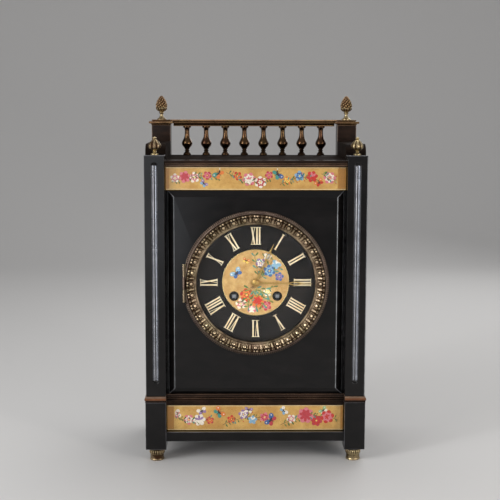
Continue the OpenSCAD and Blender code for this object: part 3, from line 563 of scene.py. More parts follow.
enamel = enamel_paint()
print("finishes:", [m.name for m in bpy.data.materials])

# %% [markdown]
# ## Every solid gets its finish
# The solids that stay as they are take a finish at once. Each is named with its finish in one
# table, so that nothing is forgotten, and the table is checked against the frame.

# %% Give the solids their finishes
FINISHES = {
    slate: "base_slab pedestals front_left_post front_right_post front_slab left_side_panel "
           "right_side_panel back_panel",
    brown_slate: "rear_left_post rear_right_post lower_moulding cornice",
    dull_slate: "top_slab left_cheek right_cheek",
    band_slate: "post_bands",
    bronze: "balusters",
    rail_bronze: "rear_caps gallery_rail",
    gallery_brass: "pineapple_finials front_finials",
    brass: "feet dial_ring bezel back_ring back_door",
    hand_gilt: "minute_hand hour_hand hand_collet",
    gilding: "dial_gilding",
    movement_brass: "front_plate back_plate plate_pillars suspension_cock centre_arbor "
                    "hour_wheel minute_wheel intermediate_wheel third_wheel escape_wheel "
                    "going_barrel strike_barrel pendulum_rod pendulum_bob",
    steel: "hinge_pins case_straps strap_screws bell_stand going_arbor going_click "
           "strike_arbor strike_click anchor hammer",
    gold_ground: "upper_tile lower_tile",
    dial_black: "dial_plate",
    glass: "bezel_glass",
    bell_metal: "bell",
    black_collet: "winding_collets",
}
finish_of = {name: material for material, names in FINISHES.items() for name in names.split()}
assert sorted(finish_of) == sorted(nodes), set(finish_of) ^ set(nodes)
for name, solid in nodes.items():
    solid.data.materials.clear()
    solid.data.materials.append(finish_of[name])
print("solids with a finish:", len(finish_of))

# %% [markdown]
# ## Cut stone with soft edges
# No cut edge is perfectly sharp: polished slate has a fine rounded arris, and it is this
# narrow facet that catches the light and draws a bright line along every corner. Each visible
# block is copied from its solid, its loose triangles are merged, flat faces are joined, and a
# Bevel modifier rounds the edges that turn by more than 30 degrees. The raised field of the
# front has flatter edges, so 15 degrees are enough there. Rounding each edge by hand would do
# the same far more slowly. The modifier gives its new faces a second, paler material: a painted
# highlight along the edges, which also stands for the stain worn off them.

# %% Round the edges of a solid
slots = {part["node"]: part["material_slot"] for part in frame["record"]["subparts"]}
# The paler material for the edges of each stone: a painted highlight
EDGE_HIGHLIGHT_OF = {slate: grey_edge_highlight, brown_slate: brown_edge_highlight, band_slate: brown_edge_highlight}
SAME_SPOT = 2e-6
FLAT_TURN = 0.6
STEEP_TURN = 30
LEAST_TURN = {"front_slab": 15}
# Places in the list of materials of a worked piece
OWN, ARRIS, EXTRA, OUTER = range(4)


def worked(name, width):
    mesh = bpy.data.meshes.new(name + ".worked")
    with on_bench(mesh, nodes[name].data) as work:
        bmesh.ops.remove_doubles(work, verts=work.verts, dist=SAME_SPOT)
        bmesh.ops.dissolve_limit(work, angle_limit=radians(FLAT_TURN), verts=work.verts,
                                 edges=work.edges)
    mesh.materials.append(finish_of[name])
    mesh.shade_smooth()
    mesh.set_sharp_from_angle(angle=radians(STEEP_TURN))
    piece = in_scene(name + ".worked", mesh)
    edge = piece.modifiers.new("rounded edges", "BEVEL")
    edge.width = width * MM
    edge.segments = 2
    edge.limit_method = "ANGLE"
    edge.angle_limit = radians(LEAST_TURN.get(name, STEEP_TURN))
    edge.harden_normals = True
    edge.use_clamp_overlap = "post" not in name and "slab" not in name
    # Painted highlight: the bevel's new faces take the paler edge material
    if finish_of[name] in EDGE_HIGHLIGHT_OF:
        mesh.materials.append(EDGE_HIGHLIGHT_OF[finish_of[name]])
        edge.material = ARRIS
    settle(piece)
    return fit(piece, nodes[name]["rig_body"], slots[name], name)


EDGES = {
    0.8: "front_left_post front_right_post",
    0.45: "base_slab pedestals rear_left_post rear_right_post left_side_panel "
          "right_side_panel back_panel front_slab",
    0.3: "top_slab left_cheek right_cheek rear_caps gallery_rail upper_tile lower_tile",
    0.2: "post_bands cornice lower_moulding back_ring back_door",
    0.12: "hour_hand minute_hand case_straps suspension_cock bell_stand hammer",
}
for width, names in EDGES.items():
    for name in names.split():
        piece = worked(name, width)
        print(f"{piece.name}: edges {width} mm, {len(piece.data.polygons)} faces")

# %% [markdown]
# ## Painted highlights, painted shade and a painted sheen
# The half-round flutes of the posts look much brighter than the flat stone round them: their
# walls get a pale metal finish, a painted sheen with which each wall mirrors the lamps and the
# light from the other side. The band round each post gets a painted highlight on its top slope
# and painted shade in its cove. The upright edges of the raised field and the right post's
# outer edge get the palest painted highlight, while level edges and the inner ones keep the
# plain stone. Each face is picked out by its place and by the way it turns, because no mask
# painted by hand would follow a change of the solids.

# %% Bands and the raised field
FIELD_HALF = 90
HIGHLIGHT_ABOVE, SHADE_BELOW = 0.72, 0.42
# How far a face may turn: parts of its normal
SLOPING, UPRIGHT, LYING = 0.15, 0.1, 3
mouldings = bpy.data.objects["post_bands.worked"]
# The cove takes brown slate as painted shade
mouldings.data.materials.append(brown_slate)
low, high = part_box("post_bands")
# Painted highlight on the upward-facing top slope, painted shade in the cove below
for face in mouldings.data.polygons:
    level = (face.center.z - low.z) / (high.z - low.z)
    if level > HIGHLIGHT_ABOVE and face.normal.z > SLOPING:
        face.material_index = ARRIS
    elif level < SHADE_BELOW:
        face.material_index = EXTRA

front = bpy.data.objects["front_slab.worked"]
front.data.materials.append(pale_edge_highlight)
# Painted highlight: upright edges of the raised field take the pale material, level ones the plain
# stone, the rest the grey
for face in front.data.polygons:
    if face.material_index == ARRIS and abs(face.center.x) < FIELD_HALF * MM:
        across, up = abs(face.normal.x), abs(face.normal.z)
        lying = up > LYING * across
        face.material_index = EXTRA if up < UPRIGHT else OWN if lying else ARRIS
print("pale faces of the front:", sum(f.material_index == EXTRA for f in front.data.polygons))

# %% Flutes and edges of the posts
FLUTE_HALF, FLUTE_RIM = 2.9, 4.2
OUTWARD, LEAST_ASIDE, MOST_ASIDE = 0.2, 0.1, 0.97
BELOW_TOP = 3


def flute_wall(centre, normal):
    """True on the walls of a flute, not on its floor or on the flat stone."""
    for near, post, facing, aside in ((abs(centre.x), post_x, -normal.y, abs(normal.x)),
                                      (abs(centre.y), post_y, abs(normal.x), abs(normal.y))):
        in_flute = abs(near / MM - post) < FLUTE_HALF
        if in_flute and facing > OUTWARD and LEAST_ASIDE < aside < MOST_ASIDE:
            return abs(normal.z) < UPRIGHT
    return False


for name in ("front_left_post", "front_right_post", "rear_left_post", "rear_right_post"):
    post = bpy.data.objects[name + ".worked"]
    in_front = name.startswith("front")
    for extra in (flute_sheen, pale_edge_highlight)[:1 + in_front]:
        post.data.materials.append(extra)
    top = max(spot.co.z for spot in post.data.vertices)
    walls = 0
    for face in post.data.polygons:
        spot = face.center
        axis_gap = min(abs(abs(spot.x) / MM - post_x), abs(abs(spot.y) / MM - post_y))
        # Painted sheen: the flute walls take the pale metal finish
        if face.material_index == OWN:
            if flute_wall(spot, face.normal):
                face.material_index = EXTRA
                walls += 1
        elif axis_gap < FLUTE_RIM and spot.z < top - BELOW_TOP * MM:
            face.material_index = OWN
        # Painted highlight on the upright edges: pale on the right post's outer edge, grey on the
        # left's, none inside
        elif in_front and abs(face.normal.z) < UPRIGHT:
            inner = abs(spot.x) / MM < post_x
            face.material_index = OWN if inner else OUTER if spot.x > 0 else ARRIS
    print(post.name, "faces with painted sheen:", walls)

# %% [markdown]
# ## Repeats with Geometry Nodes
# A ring of eggs, a row of balusters or a cone of scales is one form that comes back by a rule.
# Geometry Nodes set copies of one model on points, so that the count and the spacing stay
# named inputs. Each tree ends in Realize Instances and Set Material, and its result is then
# turned into a plain mesh. Two helpers hold what all the trees have in common: how they open
# and how they close.

# %% Open, close and run a tree
def open_tree(name, *sockets):
    tree = bpy.data.node_groups.new(name, "GeometryNodeTree")
    names = socketed(tree, "INPUT", [("Geometry", "Geometry"), *sockets,
                                     ("Material", "Material")])
    socketed(tree, "OUTPUT", [("Geometry", "Geometry")])
    return tree, names, add(tree, "NodeGroupInput").outputs


def close_tree(tree, given, spots, merge=None, **how):
    """Sets copies on the spots, makes them real, merges what meets and gives the material."""
    mesh = add(tree, "GeometryNodeInstanceOnPoints",
               {"Points": spots, "Instance": given["Geometry"], **how}).outputs[0]
    mesh = add(tree, "GeometryNodeRealizeInstances", {"Geometry": mesh}).outputs[0]
    if merge is not None:
        mesh = add(tree, "GeometryNodeMergeByDistance",
                   {"Geometry": mesh, "Distance": merge}).outputs[0]
    dressed = add(tree, "GeometryNodeSetMaterial",
                  {"Geometry": mesh, "Material": given["Material"]}).outputs[0]
    add(tree, "NodeGroupOutput", {"Geometry": dressed})


def repeated(piece, made, **values):
    """Runs a tree on a piece with the named inputs and keeps the result as its mesh."""
    tree, names = made
    tool = piece.modifiers.new(tree.name, "NODES")
    tool.node_group = tree
    for name, value in values.items():
        tool[names[name]] = value
    settle(piece)
    print(f"{piece.name}: {len(piece.data.polygons)} faces")
    return piece

# %% The tree for rings of copies
def ring_tree():
    tree, names, given = open_tree("ring of copies", ("Count", "Int", 12), ("Centre", "Vector"),
                                   ("Axis", "Vector", (0, 1, 0)), ("First", "Float", 0.0),
                                   ("Merge", "Float", 0.0))
    spots = add(tree, "GeometryNodePoints", {"Count": given["Count"], "Position": given["Centre"]})
    index = add(tree, "GeometryNodeInputIndex").outputs[0]
    share = math_node(tree, "DIVIDE", index, given["Count"])
    turn = math_node(tree, "MULTIPLY_ADD", share, 2 * pi, given["First"])
    euler = vector_node(tree, "SCALE", {0: given["Axis"], "Scale": turn})
    close_tree(tree, given, spots.outputs[0], given["Merge"], Rotation=euler)
    return tree, names


ring = ring_tree()
print("tree:", ring[0].name, list(ring[1]))

# %% The tree for rows of copies
def row_tree():
    tree, names, given = open_tree("row of copies", ("Count", "Int", 8), ("First", "Vector"),
                                   ("Step", "Vector"))
    line = add(tree, "GeometryNodeMeshLine",
               {"Count": given["Count"], "Start Location": given["First"],
                "Offset": given["Step"]}, mode="OFFSET")
    close_tree(tree, given, line.outputs[0])
    return tree, names


row = row_tree()
print("tree:", row[0].name, list(row[1]))

# %% [markdown]
# ## The feet
# Each foot is a turned brass stub: a smooth drum with a bright base ring below and a
# gadrooned roll above, whose twenty lobes catch the light one by one. The drum under the roll
# is darkened with painted shade, and the grooves keep a dark patina. The lobes belong to the
# roll only, so the carve function deepens the grooves there and fades out above and below.

# %% Turn the feet
FOOT_H, ROLL_AT = 13, 0.69
LOBES = 20


def roll(share, half):
    """1 in the middle of the roll, falling to 0 at half its height."""
    return max(0.0, 1 - ((share - ROLL_AT) / half) ** 2)


def gadroon(r, h, turn):
    return -1.1 * roll(h / FOOT_H, 0.17) * (1 - abs(sin(turn * LOBES / 2)) ** 0.7)


foot_line = ([(0, 0), (6.5, 0)] + smooth_curve(
    [(6.9, 0.2), (7.35, 0.7), (7.4, 1.3), (7.05, 1.9), (6.95, 2.4), (6.95, 5.6), (7.15, 6.1),
     (7.15, 6.5), (7.5, 6.9), (7.95, 7.8), (8, 9.1), (7.7, 10.3), (7.1, 11.1)], 3)
    + [(6.3, 11.7), (6.2, 12.2), (6.2, 13), (0, 13)])
points, faces = joined(*[lathe(foot_line, 160, on_corner(side, end), gadroon)
                         for side in (-1, 1) for end in (-1, 1)])
feet_patina_and_shade = []
for x, y, z in points:
    turn = atan2(y / MM - copysign(post_y, y), x / MM - copysign(post_x, x))
    # Painted shade on the drum under the roll, patina in the roll's grooves
    waist_shade = 0.5 if 2 < z / MM < 6.3 else 0.0
    groove = 1 - abs(sin(turn * LOBES / 2)) ** 0.6
    feet_patina_and_shade.append(min(1.0, waist_shade + 1.2 * roll(z / MM / FOOT_H, 0.2) * groove))
fit(make_piece("turned_feet", points, faces, finial_brass, 50, feet_patina_and_shade),
    "case", "brass", "feet")
print("feet:", len(points), "points")

# %% [markdown]
# ## The balusters
# Eight bronze balusters stand under the rail: a flared top, a neck that narrows upwards, a low
# bulb and a flared foot with a small ring over it. One is turned on the lathe, and the row tree
# sets the others beside it at the spacing of the solids.

# %% Turn one baluster and repeat it
GAP = 21.1
COUNT = 8
low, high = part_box("balusters")
base_z = low.z / MM
tall = high.z / MM - base_z
baluster_line = [(r, share * tall) for r, share in
                 [(0, 0), (4.2, 0), (4.3, 0.015), (4.3, 0.03), (3.9, 0.055)] + smooth_curve(
    [(3.8, 0.065), (3.1, 0.09), (2.3, 0.125), (2.3, 0.14), (2.75, 0.155), (2.75, 0.17),
     (2.2, 0.185), (2.2, 0.205), (2.95, 0.225), (2.95, 0.24), (3.6, 0.265), (4.6, 0.3),
     (5.5, 0.345), (5.9, 0.4), (5.5, 0.46), (4.4, 0.53), (3.3, 0.6), (2.7, 0.68), (2.5, 0.78),
     (2.55, 0.87), (3.1, 0.925), (4.1, 0.945)], 3)
                 + [(4.4, 0.955), (4.4, 0.985), (4.2, 1), (0, 1)]]
points, faces = lathe(baluster_line, 40, upright)
# Painted shade: darkest under the bulb, a little on the bulb, none on the neck and top
baluster_shade = [0.55 if z / MM / tall < 0.24 else 0.1 if z / MM / tall < 0.56 else 0.0
              for x, y, z in points]
balusters = make_piece("turned_balusters", points, faces, bronze, 50, baluster_shade)
repeated(balusters, row, Count=COUNT, Material=bronze,
         First=upright(-(COUNT - 1) / 2 * GAP, post_y, base_z), Step=upright(GAP, 0, 0))
fit(balusters, "case", "bronze", "balusters")

# %% [markdown]
# ## The rear finials: pineapples
# A pineapple's scales follow the golden angle: each next scale stands 137.5 degrees further
# round and a little higher. A tree can say that in a few nodes: the index of a point gives its
# angle and its height, a Float Curve gives the cone's outline, and each scale tilts upwards
# as the cone closes. Placing sixty-six scales by hand would never look so regular.

# %% The tree for spiral scales
GOLDEN_ANGLE = 137.508
CONE_OUTLINE = (0.16, 1.0), (0.45, 0.88), (0.75, 0.56)


def scale_tree():
    tree, names, given = open_tree("spiral of scales", ("Count", "Int", 90), ("Radius", "Float"),
                                   ("Height", "Float"))
    index = add(tree, "GeometryNodeInputIndex").outputs[0]
    share = math_node(tree, "DIVIDE", index, given["Count"])
    outline = add(tree, "ShaderNodeFloatCurve", {"Value": share})
    curve = outline.mapping.curves[0]
    curve.points[0].location = (0, 0.9)
    curve.points[1].location = (1, 0.12)
    for knot in CONE_OUTLINE:
        curve.points.new(*knot)
    outline.mapping.update()
    turn = math_node(tree, "MULTIPLY", index, radians(GOLDEN_ANGLE))
    reach = math_node(tree, "MULTIPLY", outline.outputs[0], given["Radius"])
    level = math_node(tree, "MULTIPLY", share, given["Height"])
    across = math_node(tree, "MULTIPLY", reach, math_node(tree, "COSINE", turn))
    along = math_node(tree, "MULTIPLY", reach, math_node(tree, "SINE", turn))
    spot = add(tree, "ShaderNodeCombineXYZ", {0: across, 1: along, 2: level})
    spots = add(tree, "GeometryNodePoints",
                {"Count": given["Count"], "Position": spot.outputs[0]})
    tilt = math_node(tree, "MULTIPLY", math_node(tree, "POWER", share, 1.6), -1.15)
    euler = add(tree, "ShaderNodeCombineXYZ", {0: 0.0, 1: tilt, 2: turn})
    size = math_node(tree, "MULTIPLY_ADD", outline.outputs[0], 0.62, 0.38)
    close_tree(tree, given, spots.outputs[0], Rotation=euler.outputs[0], Scale=size)
    return tree, names


scales = scale_tree()
print("tree:", scales[0].name, list(scales[1]))

# %% One scale, and the cone of scales
# A scale is a lozenge with a ridge and a raised tip, drawn looking along +X.
scale_points = [(-0.6, 0, -1.6), (-0.5, 1.45, -0.1), (-0.5, -1.45, -0.1), (-0.5, 0, 1.6),
                (0.75, 0, 0.35), (0.3, 0.65, -0.2), (0.3, -0.65, -0.2), (0.4, 0, -0.8),
                (0.3, 0, 0.9)]
scale_faces = [(0, 1, 5, 7), (0, 7, 6, 2), (7, 5, 4), (7, 4, 6), (1, 3, 8, 5), (2, 6, 8, 3),
               (5, 8, 4), (6, 4, 8), (0, 3, 1), (0, 2, 3)]
scale_depth = [1, 1, 1, 0.9, 0, 0.1, 0.1, 0.2, 0.1]
cone_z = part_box("rear_caps")[1].z / MM
cone_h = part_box("pineapple_finials")[1].z / MM - cone_z
for side, word in ((-1, "left"), (1, "right")):
    cone = make_piece(f"pineapple_scales_{word}", [upright(*p) for p in scale_points],
                      scale_faces, gallery_brass, 60, scale_depth)
    repeated(cone, scales, Count=66, Radius=5.9 * MM, Height=0.515 * cone_h * MM,
             Material=gallery_brass)
    for point in cone.data.vertices:
        point.co += Vector(upright(side * post_x, post_y, cone_z + 0.47 * cone_h))
    fit(cone, "case", "brass")

# %% [markdown]
# ## Finial stems and the front acorns
# Under the scales stand a calyx of pointed leaves and a stem with two beads. The front
# finials are smaller: an acorn form whose body is carved into eight leaves, under a small
# knob. Both are lathe work with a carve function that cuts the gaps between the leaves.

# %% Turn the stems with their calyx
def calyx(r, h, turn):
    share = (h - cone_z) / cone_h
    inside = max(0.0, 1 - ((share - 0.44) / 0.07) ** 2)
    return -0.9 * inside * (1 - abs(sin(turn * 6)) ** 0.6)


stem_line = [(0, 0), (4.9, 0)] + smooth_curve(
    [(5, 0.02), (4.6, 0.04), (3.3, 0.07), (2.4, 0.12), (1.8, 0.17), (1.7, 0.22), (2.0, 0.25),
     (2.8, 0.27), (2.7, 0.29), (2.2, 0.31), (3.0, 0.335), (4.6, 0.365), (5.8, 0.41), (6.4, 0.45),
     (6.2, 0.48), (5.5, 0.5)], 3) + smooth_curve(
    [(5.4, 0.52), (5.6, 0.58), (5.3, 0.66), (4.3, 0.78), (2.7, 0.89), (1.2, 0.955)], 3)
stem_line.append((0, 0.975))
points, faces = joined(*[lathe([(r, cone_z + share * cone_h) for r, share in stem_line], 96,
                               on_corner(side, 1), calyx) for side in (-1, 1)])
stem_depth = []
for x, y, z in points:
    turn = atan2(y / MM - post_y, abs(x) / MM - post_x)
    share = (z / MM - cone_z) / cone_h
    gap = 1 - abs(sin(turn * 6))
    stem_depth.append(0.8 * gap if 0.35 < share < 0.5 else 0.9 if share > 0.5 else 0.0)
fit(make_piece("pineapple_stems", points, faces, finial_brass, 50, stem_depth),
    "case", "brass", "pineapple_finials")
print("stems:", len(points), "points")

# %% Turn the acorns
low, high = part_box("front_finials")
acorn_z = low.z / MM
acorn_h = high.z / MM - acorn_z


def leaves(r, h, turn):
    share = (h - acorn_z) / acorn_h
    body = max(0.0, 1 - ((share - 0.52) / 0.27) ** 2)
    vein = 0.16 * abs(sin(turn * 12))
    return -body * (0.8 * (1 - abs(cos(turn * 4)) ** 0.55) + vein)


acorn_line = [(0, 0), (4.0, 0), (4.1, 0.03)] + smooth_curve(
    [(4.0, 0.06), (2.5, 0.09), (1.7, 0.13), (1.8, 0.15), (2.2, 0.17), (1.8, 0.2), (1.8, 0.22),
     (2.8, 0.25), (4.4, 0.3), (5.9, 0.37), (6.6, 0.46), (6.4, 0.55), (5.4, 0.65), (4.0, 0.74),
     (2.5, 0.82), (1.5, 0.86), (2.0, 0.9), (2.1, 0.93), (1.5, 0.97)], 3) + [(0, 1)]
points, faces = joined(*[lathe([(r, acorn_z + share * acorn_h) for r, share in acorn_line], 128,
                               on_corner(side, -1), leaves) for side in (-1, 1)])
acorn_depth = []
for x, y, z in points:
    turn = atan2(y / MM + post_y, abs(x) / MM - post_x)
    share = (z / MM - acorn_z) / acorn_h
    gap = 1 - abs(cos(turn * 4)) ** 0.55
    acorn_depth.append(min(1.0, 1.5 * gap) if 0.3 < share < 0.8 else 0.1)
fit(make_piece("leaf_acorns", points, faces, finial_brass, 50, acorn_depth),
    "case", "brass", "front_finials")
print("acorns:", len(points), "points")

# %% [markdown]
# ## The bezel
# The hinged bezel is the richest piece: a finely milled outer edge, a plain ring, a half-round
# of beads and bosses, and a band of thirty-six eggs in leaf frames that slopes down to a bright
# lip round the glass. The plain rings are lathe work. The band is one ten-degree field of relief,
# worked out as a height over the slope, which the ring tree repeats thirty-six times and
# merges at the joints. A sculpted mesh could not be kept as exact or as light.

# %% The rings of the bezel
PANEL_F = 62
SIGHT = 60.2
RUBBED_R = 70.4
CUT_X, CUT_HALF = -70.9, 19.8


def slope(r):
    """Height of the band's ground over the case front at radius r."""
    return 5.9 + (r - 62.3) * 0.56


ring_line = [(73.6, 1.5), (73.6, 4.2), (72.1, 4.9)] + smooth_curve(
    [(72.1, 5.8), (71.95, 6.8), (71.3, 7.4), (70.75, 7.2), (70.5, 6.6)], 3) + [
    (70.3, 6.3), (66.6, 7.4), (62.4, 5.4)] + smooth_curve(
    [(62.3, 6.0), (61.9, 6.6), (61.2, 6.75), (60.6, 6.5), (SIGHT, 5.9)], 3) + [
    (SIGHT, 4.4), (62.7, 4.4), (62.7, 1.5)]
points, faces = lathe([(r, PANEL_F + h) for r, h in ring_line], 288, on_dial, loop=True)
# The edge is cut away where the case's knuckles stand
points = [(CUT_X * MM if x / MM < CUT_X and abs(z / MM - DIAL_Z) < CUT_HALF else x, y, z)
          for x, y, z in points]
ring_depth = []
for x, y, z in points:
    r, f = sqrt((x / MM) ** 2 + (z / MM - DIAL_Z) ** 2), -y / MM - PANEL_F
    valley = (f < 6.5 and 62.3 < r < 70.6) or (r > 72 and f < 5.9)
    ring_depth.append(0.9 if valley else 0.3 if r > 70 else 0.5)
rings = make_piece("bezel_rings", points, faces, bezel_brass, 45, ring_depth)
rings.data.materials.append(grey_brass)
for face in rings.data.polygons:
    if sqrt(face.center.x ** 2 + (face.center.z - DIAL_Z * MM) ** 2) > RUBBED_R * MM:
        face.material_index = 1
fit(rings, "bezel", "brass", "bezel")
print("bezel rings:", len(rings.data.polygons), "faces")

# %% One field of the relief
EGGS = 36
EGG_R, REEL_R, MEET_R = 65.2, 68.85, 67.2


def ridge(distance, width):
    """1 on a line, falling to 0 at its width."""
    return max(0.0, 1 - (distance / width) ** 2)


def leaf_band(u, r):
    """Height over the slope: u runs along the band, r is the radius, both in mm."""
    down = r - EGG_R
    egg = sqrt((u / 1.9) ** 2 + (down / (2.1 if down < 0 else 1.6)) ** 2)
    height = 1.2 * sqrt(max(0.0, 1 - egg ** 2))
    height = max(height, 0.8 * ridge(abs(egg - 1.55), 0.26))
    side = 5.7 - abs(u)
    leaf_half = 1.7 * max(0.0, 1 - ((r - 64.9) / 2.7) ** 2)
    if leaf_half > 0.05 and side < leaf_half:
        height = max(height, 0.55 + 0.4 * ridge(side, 0.4) - 0.25 * (side / leaf_half) ** 2)
    tips = abs(sin(pi * (u / 11.4) * 7 + pi / 2))
    if r < 63.4 + 0.75 * tips:
        height = max(height, 0.18 + 0.45 * tips * ridge(r - 62.8, 1.3))
    return height


def reel_band(share, r):
    """Height of the half-round outside: two beads beside each egg, then a pierced boss."""
    side = abs(share)
    bead = sqrt(ridge(side - 0.115, 0.105))
    reel = 0.5 * sqrt(ridge(side - 0.27, 0.035))
    ring_gap = sqrt(((0.5 - side) * 12) ** 2 + (r - REEL_R) ** 2)
    boss = 0.9 * ridge(ring_gap - 0.95, 0.6)
    return 7.0 + sqrt(ridge(r - REEL_R, 1.62)) * (1.5 + 1.3 * max(bead, reel, boss))


print("an egg stands", round(leaf_band(0, EGG_R), 2), "mm over the slope")

# %% The field as a mesh, repeated round the dial
ALONG, ACROSS = 40, 32
INNER_R, OUTER_R = 62.35, 70.45
TALLEST = 9.95
field, field_faces, field_depth = [], [], []
for i in range(ALONG + 1):
    share = i / ALONG - 0.5
    turn = share * 2 * pi / EGGS
    for k in range(ACROSS + 1):
        r = INNER_R + (OUTER_R - INNER_R) * k / ACROSS
        inside = r < MEET_R
        ground = slope(r) if inside else 8.7
        height = slope(r) + leaf_band(turn * EGG_R, r) if inside else reel_band(share, r)
        field.append((r * sin(turn), r * cos(turn), PANEL_F + min(height, TALLEST)))
        field_depth.append(min(1.0, max(0.0, 1.1 - 1.1 * (height - ground))))
    for r, height in ((OUTER_R, 6.1), (INNER_R, 5.0)):
        field.append((r * sin(turn), r * cos(turn), PANEL_F + height))
        field_depth.append(1.0)
rowed = ACROSS + 3
for i in range(ALONG):
    for k in range(rowed):
        a, b = i * rowed + k, i * rowed + (k + 1) % rowed
        field_faces.append((a, b, b + rowed, a + rowed))
band = make_piece("bezel_eggs", [upright(x, -f, y) for x, y, f in field], field_faces,
                  bezel_brass, 60, field_depth)
print("one field:", len(band.data.polygons), "faces")
repeated(band, ring, Count=EGGS, Centre=on_dial(0, 0, 0), Axis=(0, 1, 0), First=0.0,
         Merge=0.02 * MM, Material=bezel_brass)
with on_bench(band.data) as work:
    bmesh.ops.recalc_face_normals(work, faces=work.faces)
    print("open edges in the whole band:", sum(len(e.link_faces) != 2 for e in work.edges))
fit(band, "bezel", "brass")

# %% The milled edge
MILLING = 228
CLEAR_X, CLEAR_HALF = -69.0, 20.2
rib_outline = ((-0.7, 73.35), (-0.34, 74.05), (0, 74.28), (0.34, 74.05), (0.7, 73.35))
rib = [(x, r + inwards, f) for inwards, f in ((0, 1.6), (0, 4.7), (-1.9, 5.5))
       for x, r in rib_outline]
rib_faces = [(a + k, a + k + 1, a + k + 6, a + k + 5) for a in (0, 5) for k in range(4)]
rib_faces += [(4, 9, 14, 10, 5, 0), (4, 3, 2, 1, 0), (10, 11, 12, 13, 14)]
ribs = make_piece("bezel_milling", [upright(x, -(PANEL_F + f), y) for x, y, f in rib],
                  rib_faces, grey_brass, 50,
                  [1.0 if abs(x) > 0.5 else 0.3 for x, y, f in rib])
repeated(ribs, ring, Count=MILLING, Centre=on_dial(0, 0, 0), Axis=(0, 1, 0), First=0.0,
         Merge=0.0, Material=grey_brass)
with on_bench(ribs.data) as work:
    gone = [v for v in work.verts
            if v.co.x < CLEAR_X * MM and abs(v.co.z / MM - DIAL_Z) < CLEAR_HALF]
    bmesh.ops.delete(work, geom=gone, context="VERTS")
    loose = [v for v in work.verts if any(len(e.link_faces) < 2 for e in v.link_edges)]
    print("milling points left open by the hinge cut:", len(loose))
fit(ribs, "bezel", "brass")

# %% [markdown]
# ## The hinge of the bezel
# The long hinge at the bezel's left is a tube turned in fine rings, split into three knuckles.
# The two outer ones belong to the fixed ring of the case and the middle one to the bezel, so
# each gets its own row of small rings and opens with its own part.

# %% Rings on the knuckles
HINGE_X, HINGE_F = -72.8, PANEL_F + 2.6
RING_STEP = 1.0
collar, collar_faces = lathe([(1.45, -0.36), (1.62, -0.2), (1.66, 0), (1.62, 0.2), (1.45, 0.36),
                              (1.0, 0.36), (1.0, -0.36)], 20, upright, loop=True)
collar_depth = [0.0 if sqrt(x * x + y * y) / MM > 1.55 else 0.8 for x, y, z in collar]
for part, body, start, count in (("top", "case", 7.5, 12), ("low", "case", -18.9, 12),
                                 ("middle", "bezel", -6.0, 13)):
    piece = make_piece(f"hinge_rings_{part}", collar, collar_faces, grey_brass, 60, collar_depth)
    repeated(piece, row, Count=count, Material=grey_brass,
             First=on_dial(HINGE_X, start, HINGE_F), Step=upright(0, 0, RING_STEP))
    fit(piece, body, "brass")

# %% The tubes under the rings
for part, body, low_end, high_end in (("top", "case", 7.02, 19.4), ("low", "case", -19.4, -7.02),
                                      ("middle", "bezel", -6.8, 6.8)):
    sleeve = [(0.8, low_end), (1.42, low_end), (1.5, low_end + 0.15), (1.5, high_end - 0.15),
              (1.42, high_end), (0.8, high_end)]
    points, faces = lathe(sleeve, 28, lambda x, y, h: upright(HINGE_X + x, -HINGE_F + y,
                                                              DIAL_Z + h), loop=True)
    piece = make_piece(f"hinge_tube_{part}", points, faces, grey_brass, 40, [0.4] * len(points))
    fit(piece, body, "brass")
    print(f"{piece.name}: {len(faces)} faces")

# %% [markdown]
# ## The serifs of the numerals
# The strokes of the roman numerals are in the solids. A sign painter ends each stroke in a
# fine line with small sloping shoulders, the serifs, and the eye notices when they are missing.
# They are small raised forms, placed by the same spacing rule as the strokes.

# %% Add the serifs
NUMERALS = "XII I II III IIII V VI VII VIII IX X XI".split()
STEP = {"I": 2.7, "V": 5.0, "X": 5.0}
STROKES = {"I": [(0, 0, 1.5)], "V": [(0, -1.45, 1.5), (0, 1.45, 0.55)],
           "X": [(1.45, -1.45, 1.5), (-1.45, 1.45, 0.55)]}
NUMERAL_R, NUMERAL_H = 39, 17.3
SERIF_OUT = 0.7
SERIF_LOW, SERIF_TOP = 58.45, 58.72


def prism(outline, bottom, top, at):
    """A flat form with n corners, raised from bottom to top."""
    n = len(outline)
    points = [at(x, y, f) for f in (bottom, top) for x, y in outline]
    sides = [(k, (k + 1) % n, (k + 1) % n + n, k + n) for k in range(n)]
    return points, [tuple(range(n))[::-1], tuple(range(n, 2 * n))] + sides


def turned_by(hour):
    """Stands a form upright on the ring of numerals and turns it to its hour."""
    turn = -radians(30 * hour)

    def at(x, y, f):
        y += NUMERAL_R
        return on_dial(x * cos(turn) - y * sin(turn), x * sin(turn) + y * cos(turn), f)
    return at


serifs = []
for hour, word in enumerate(NUMERALS):
    x = -sum(STEP[letter] for letter in word) / 2
    for letter in word:
        middle = x + STEP[letter] / 2
        for foot, head, width in STROKES[letter]:
            for spot, y, up in ((foot, 0, 1), (head, NUMERAL_H, -1)):
                left, right = spot + middle - width / 2, spot + middle + width / 2
                outline = [(left - SERIF_OUT, y - 0.1 * up), (right + SERIF_OUT, y - 0.1 * up),
                           (right + SERIF_OUT, y + 0.2 * up), (right, y + 0.5 * up),
                           (left, y + 0.5 * up), (left - SERIF_OUT, y + 0.2 * up)]
                serifs.append(prism(outline, SERIF_LOW, SERIF_TOP, turned_by(hour)))
        x += STEP[letter]
points, faces = joined(*serifs)
fit(make_piece("numeral_serifs", points, faces, gilding, 30), "case", "gilt")
print("serifs:", len(serifs))

# %% A bright rim round the gilt centre
rim, rim_faces = lathe([(33.5, 58.6), (33.6, 58.95), (33.9, 59.1), (34.2, 58.95), (34.3, 58.5),
                        (33.5, 58.5)], 144, on_dial, loop=True)
fit(make_piece("centre_rim", rim, rim_faces, brass, 60, [0.0] * len(rim)), "case", "gilt")
print("rim:", len(rim_faces), "faces")

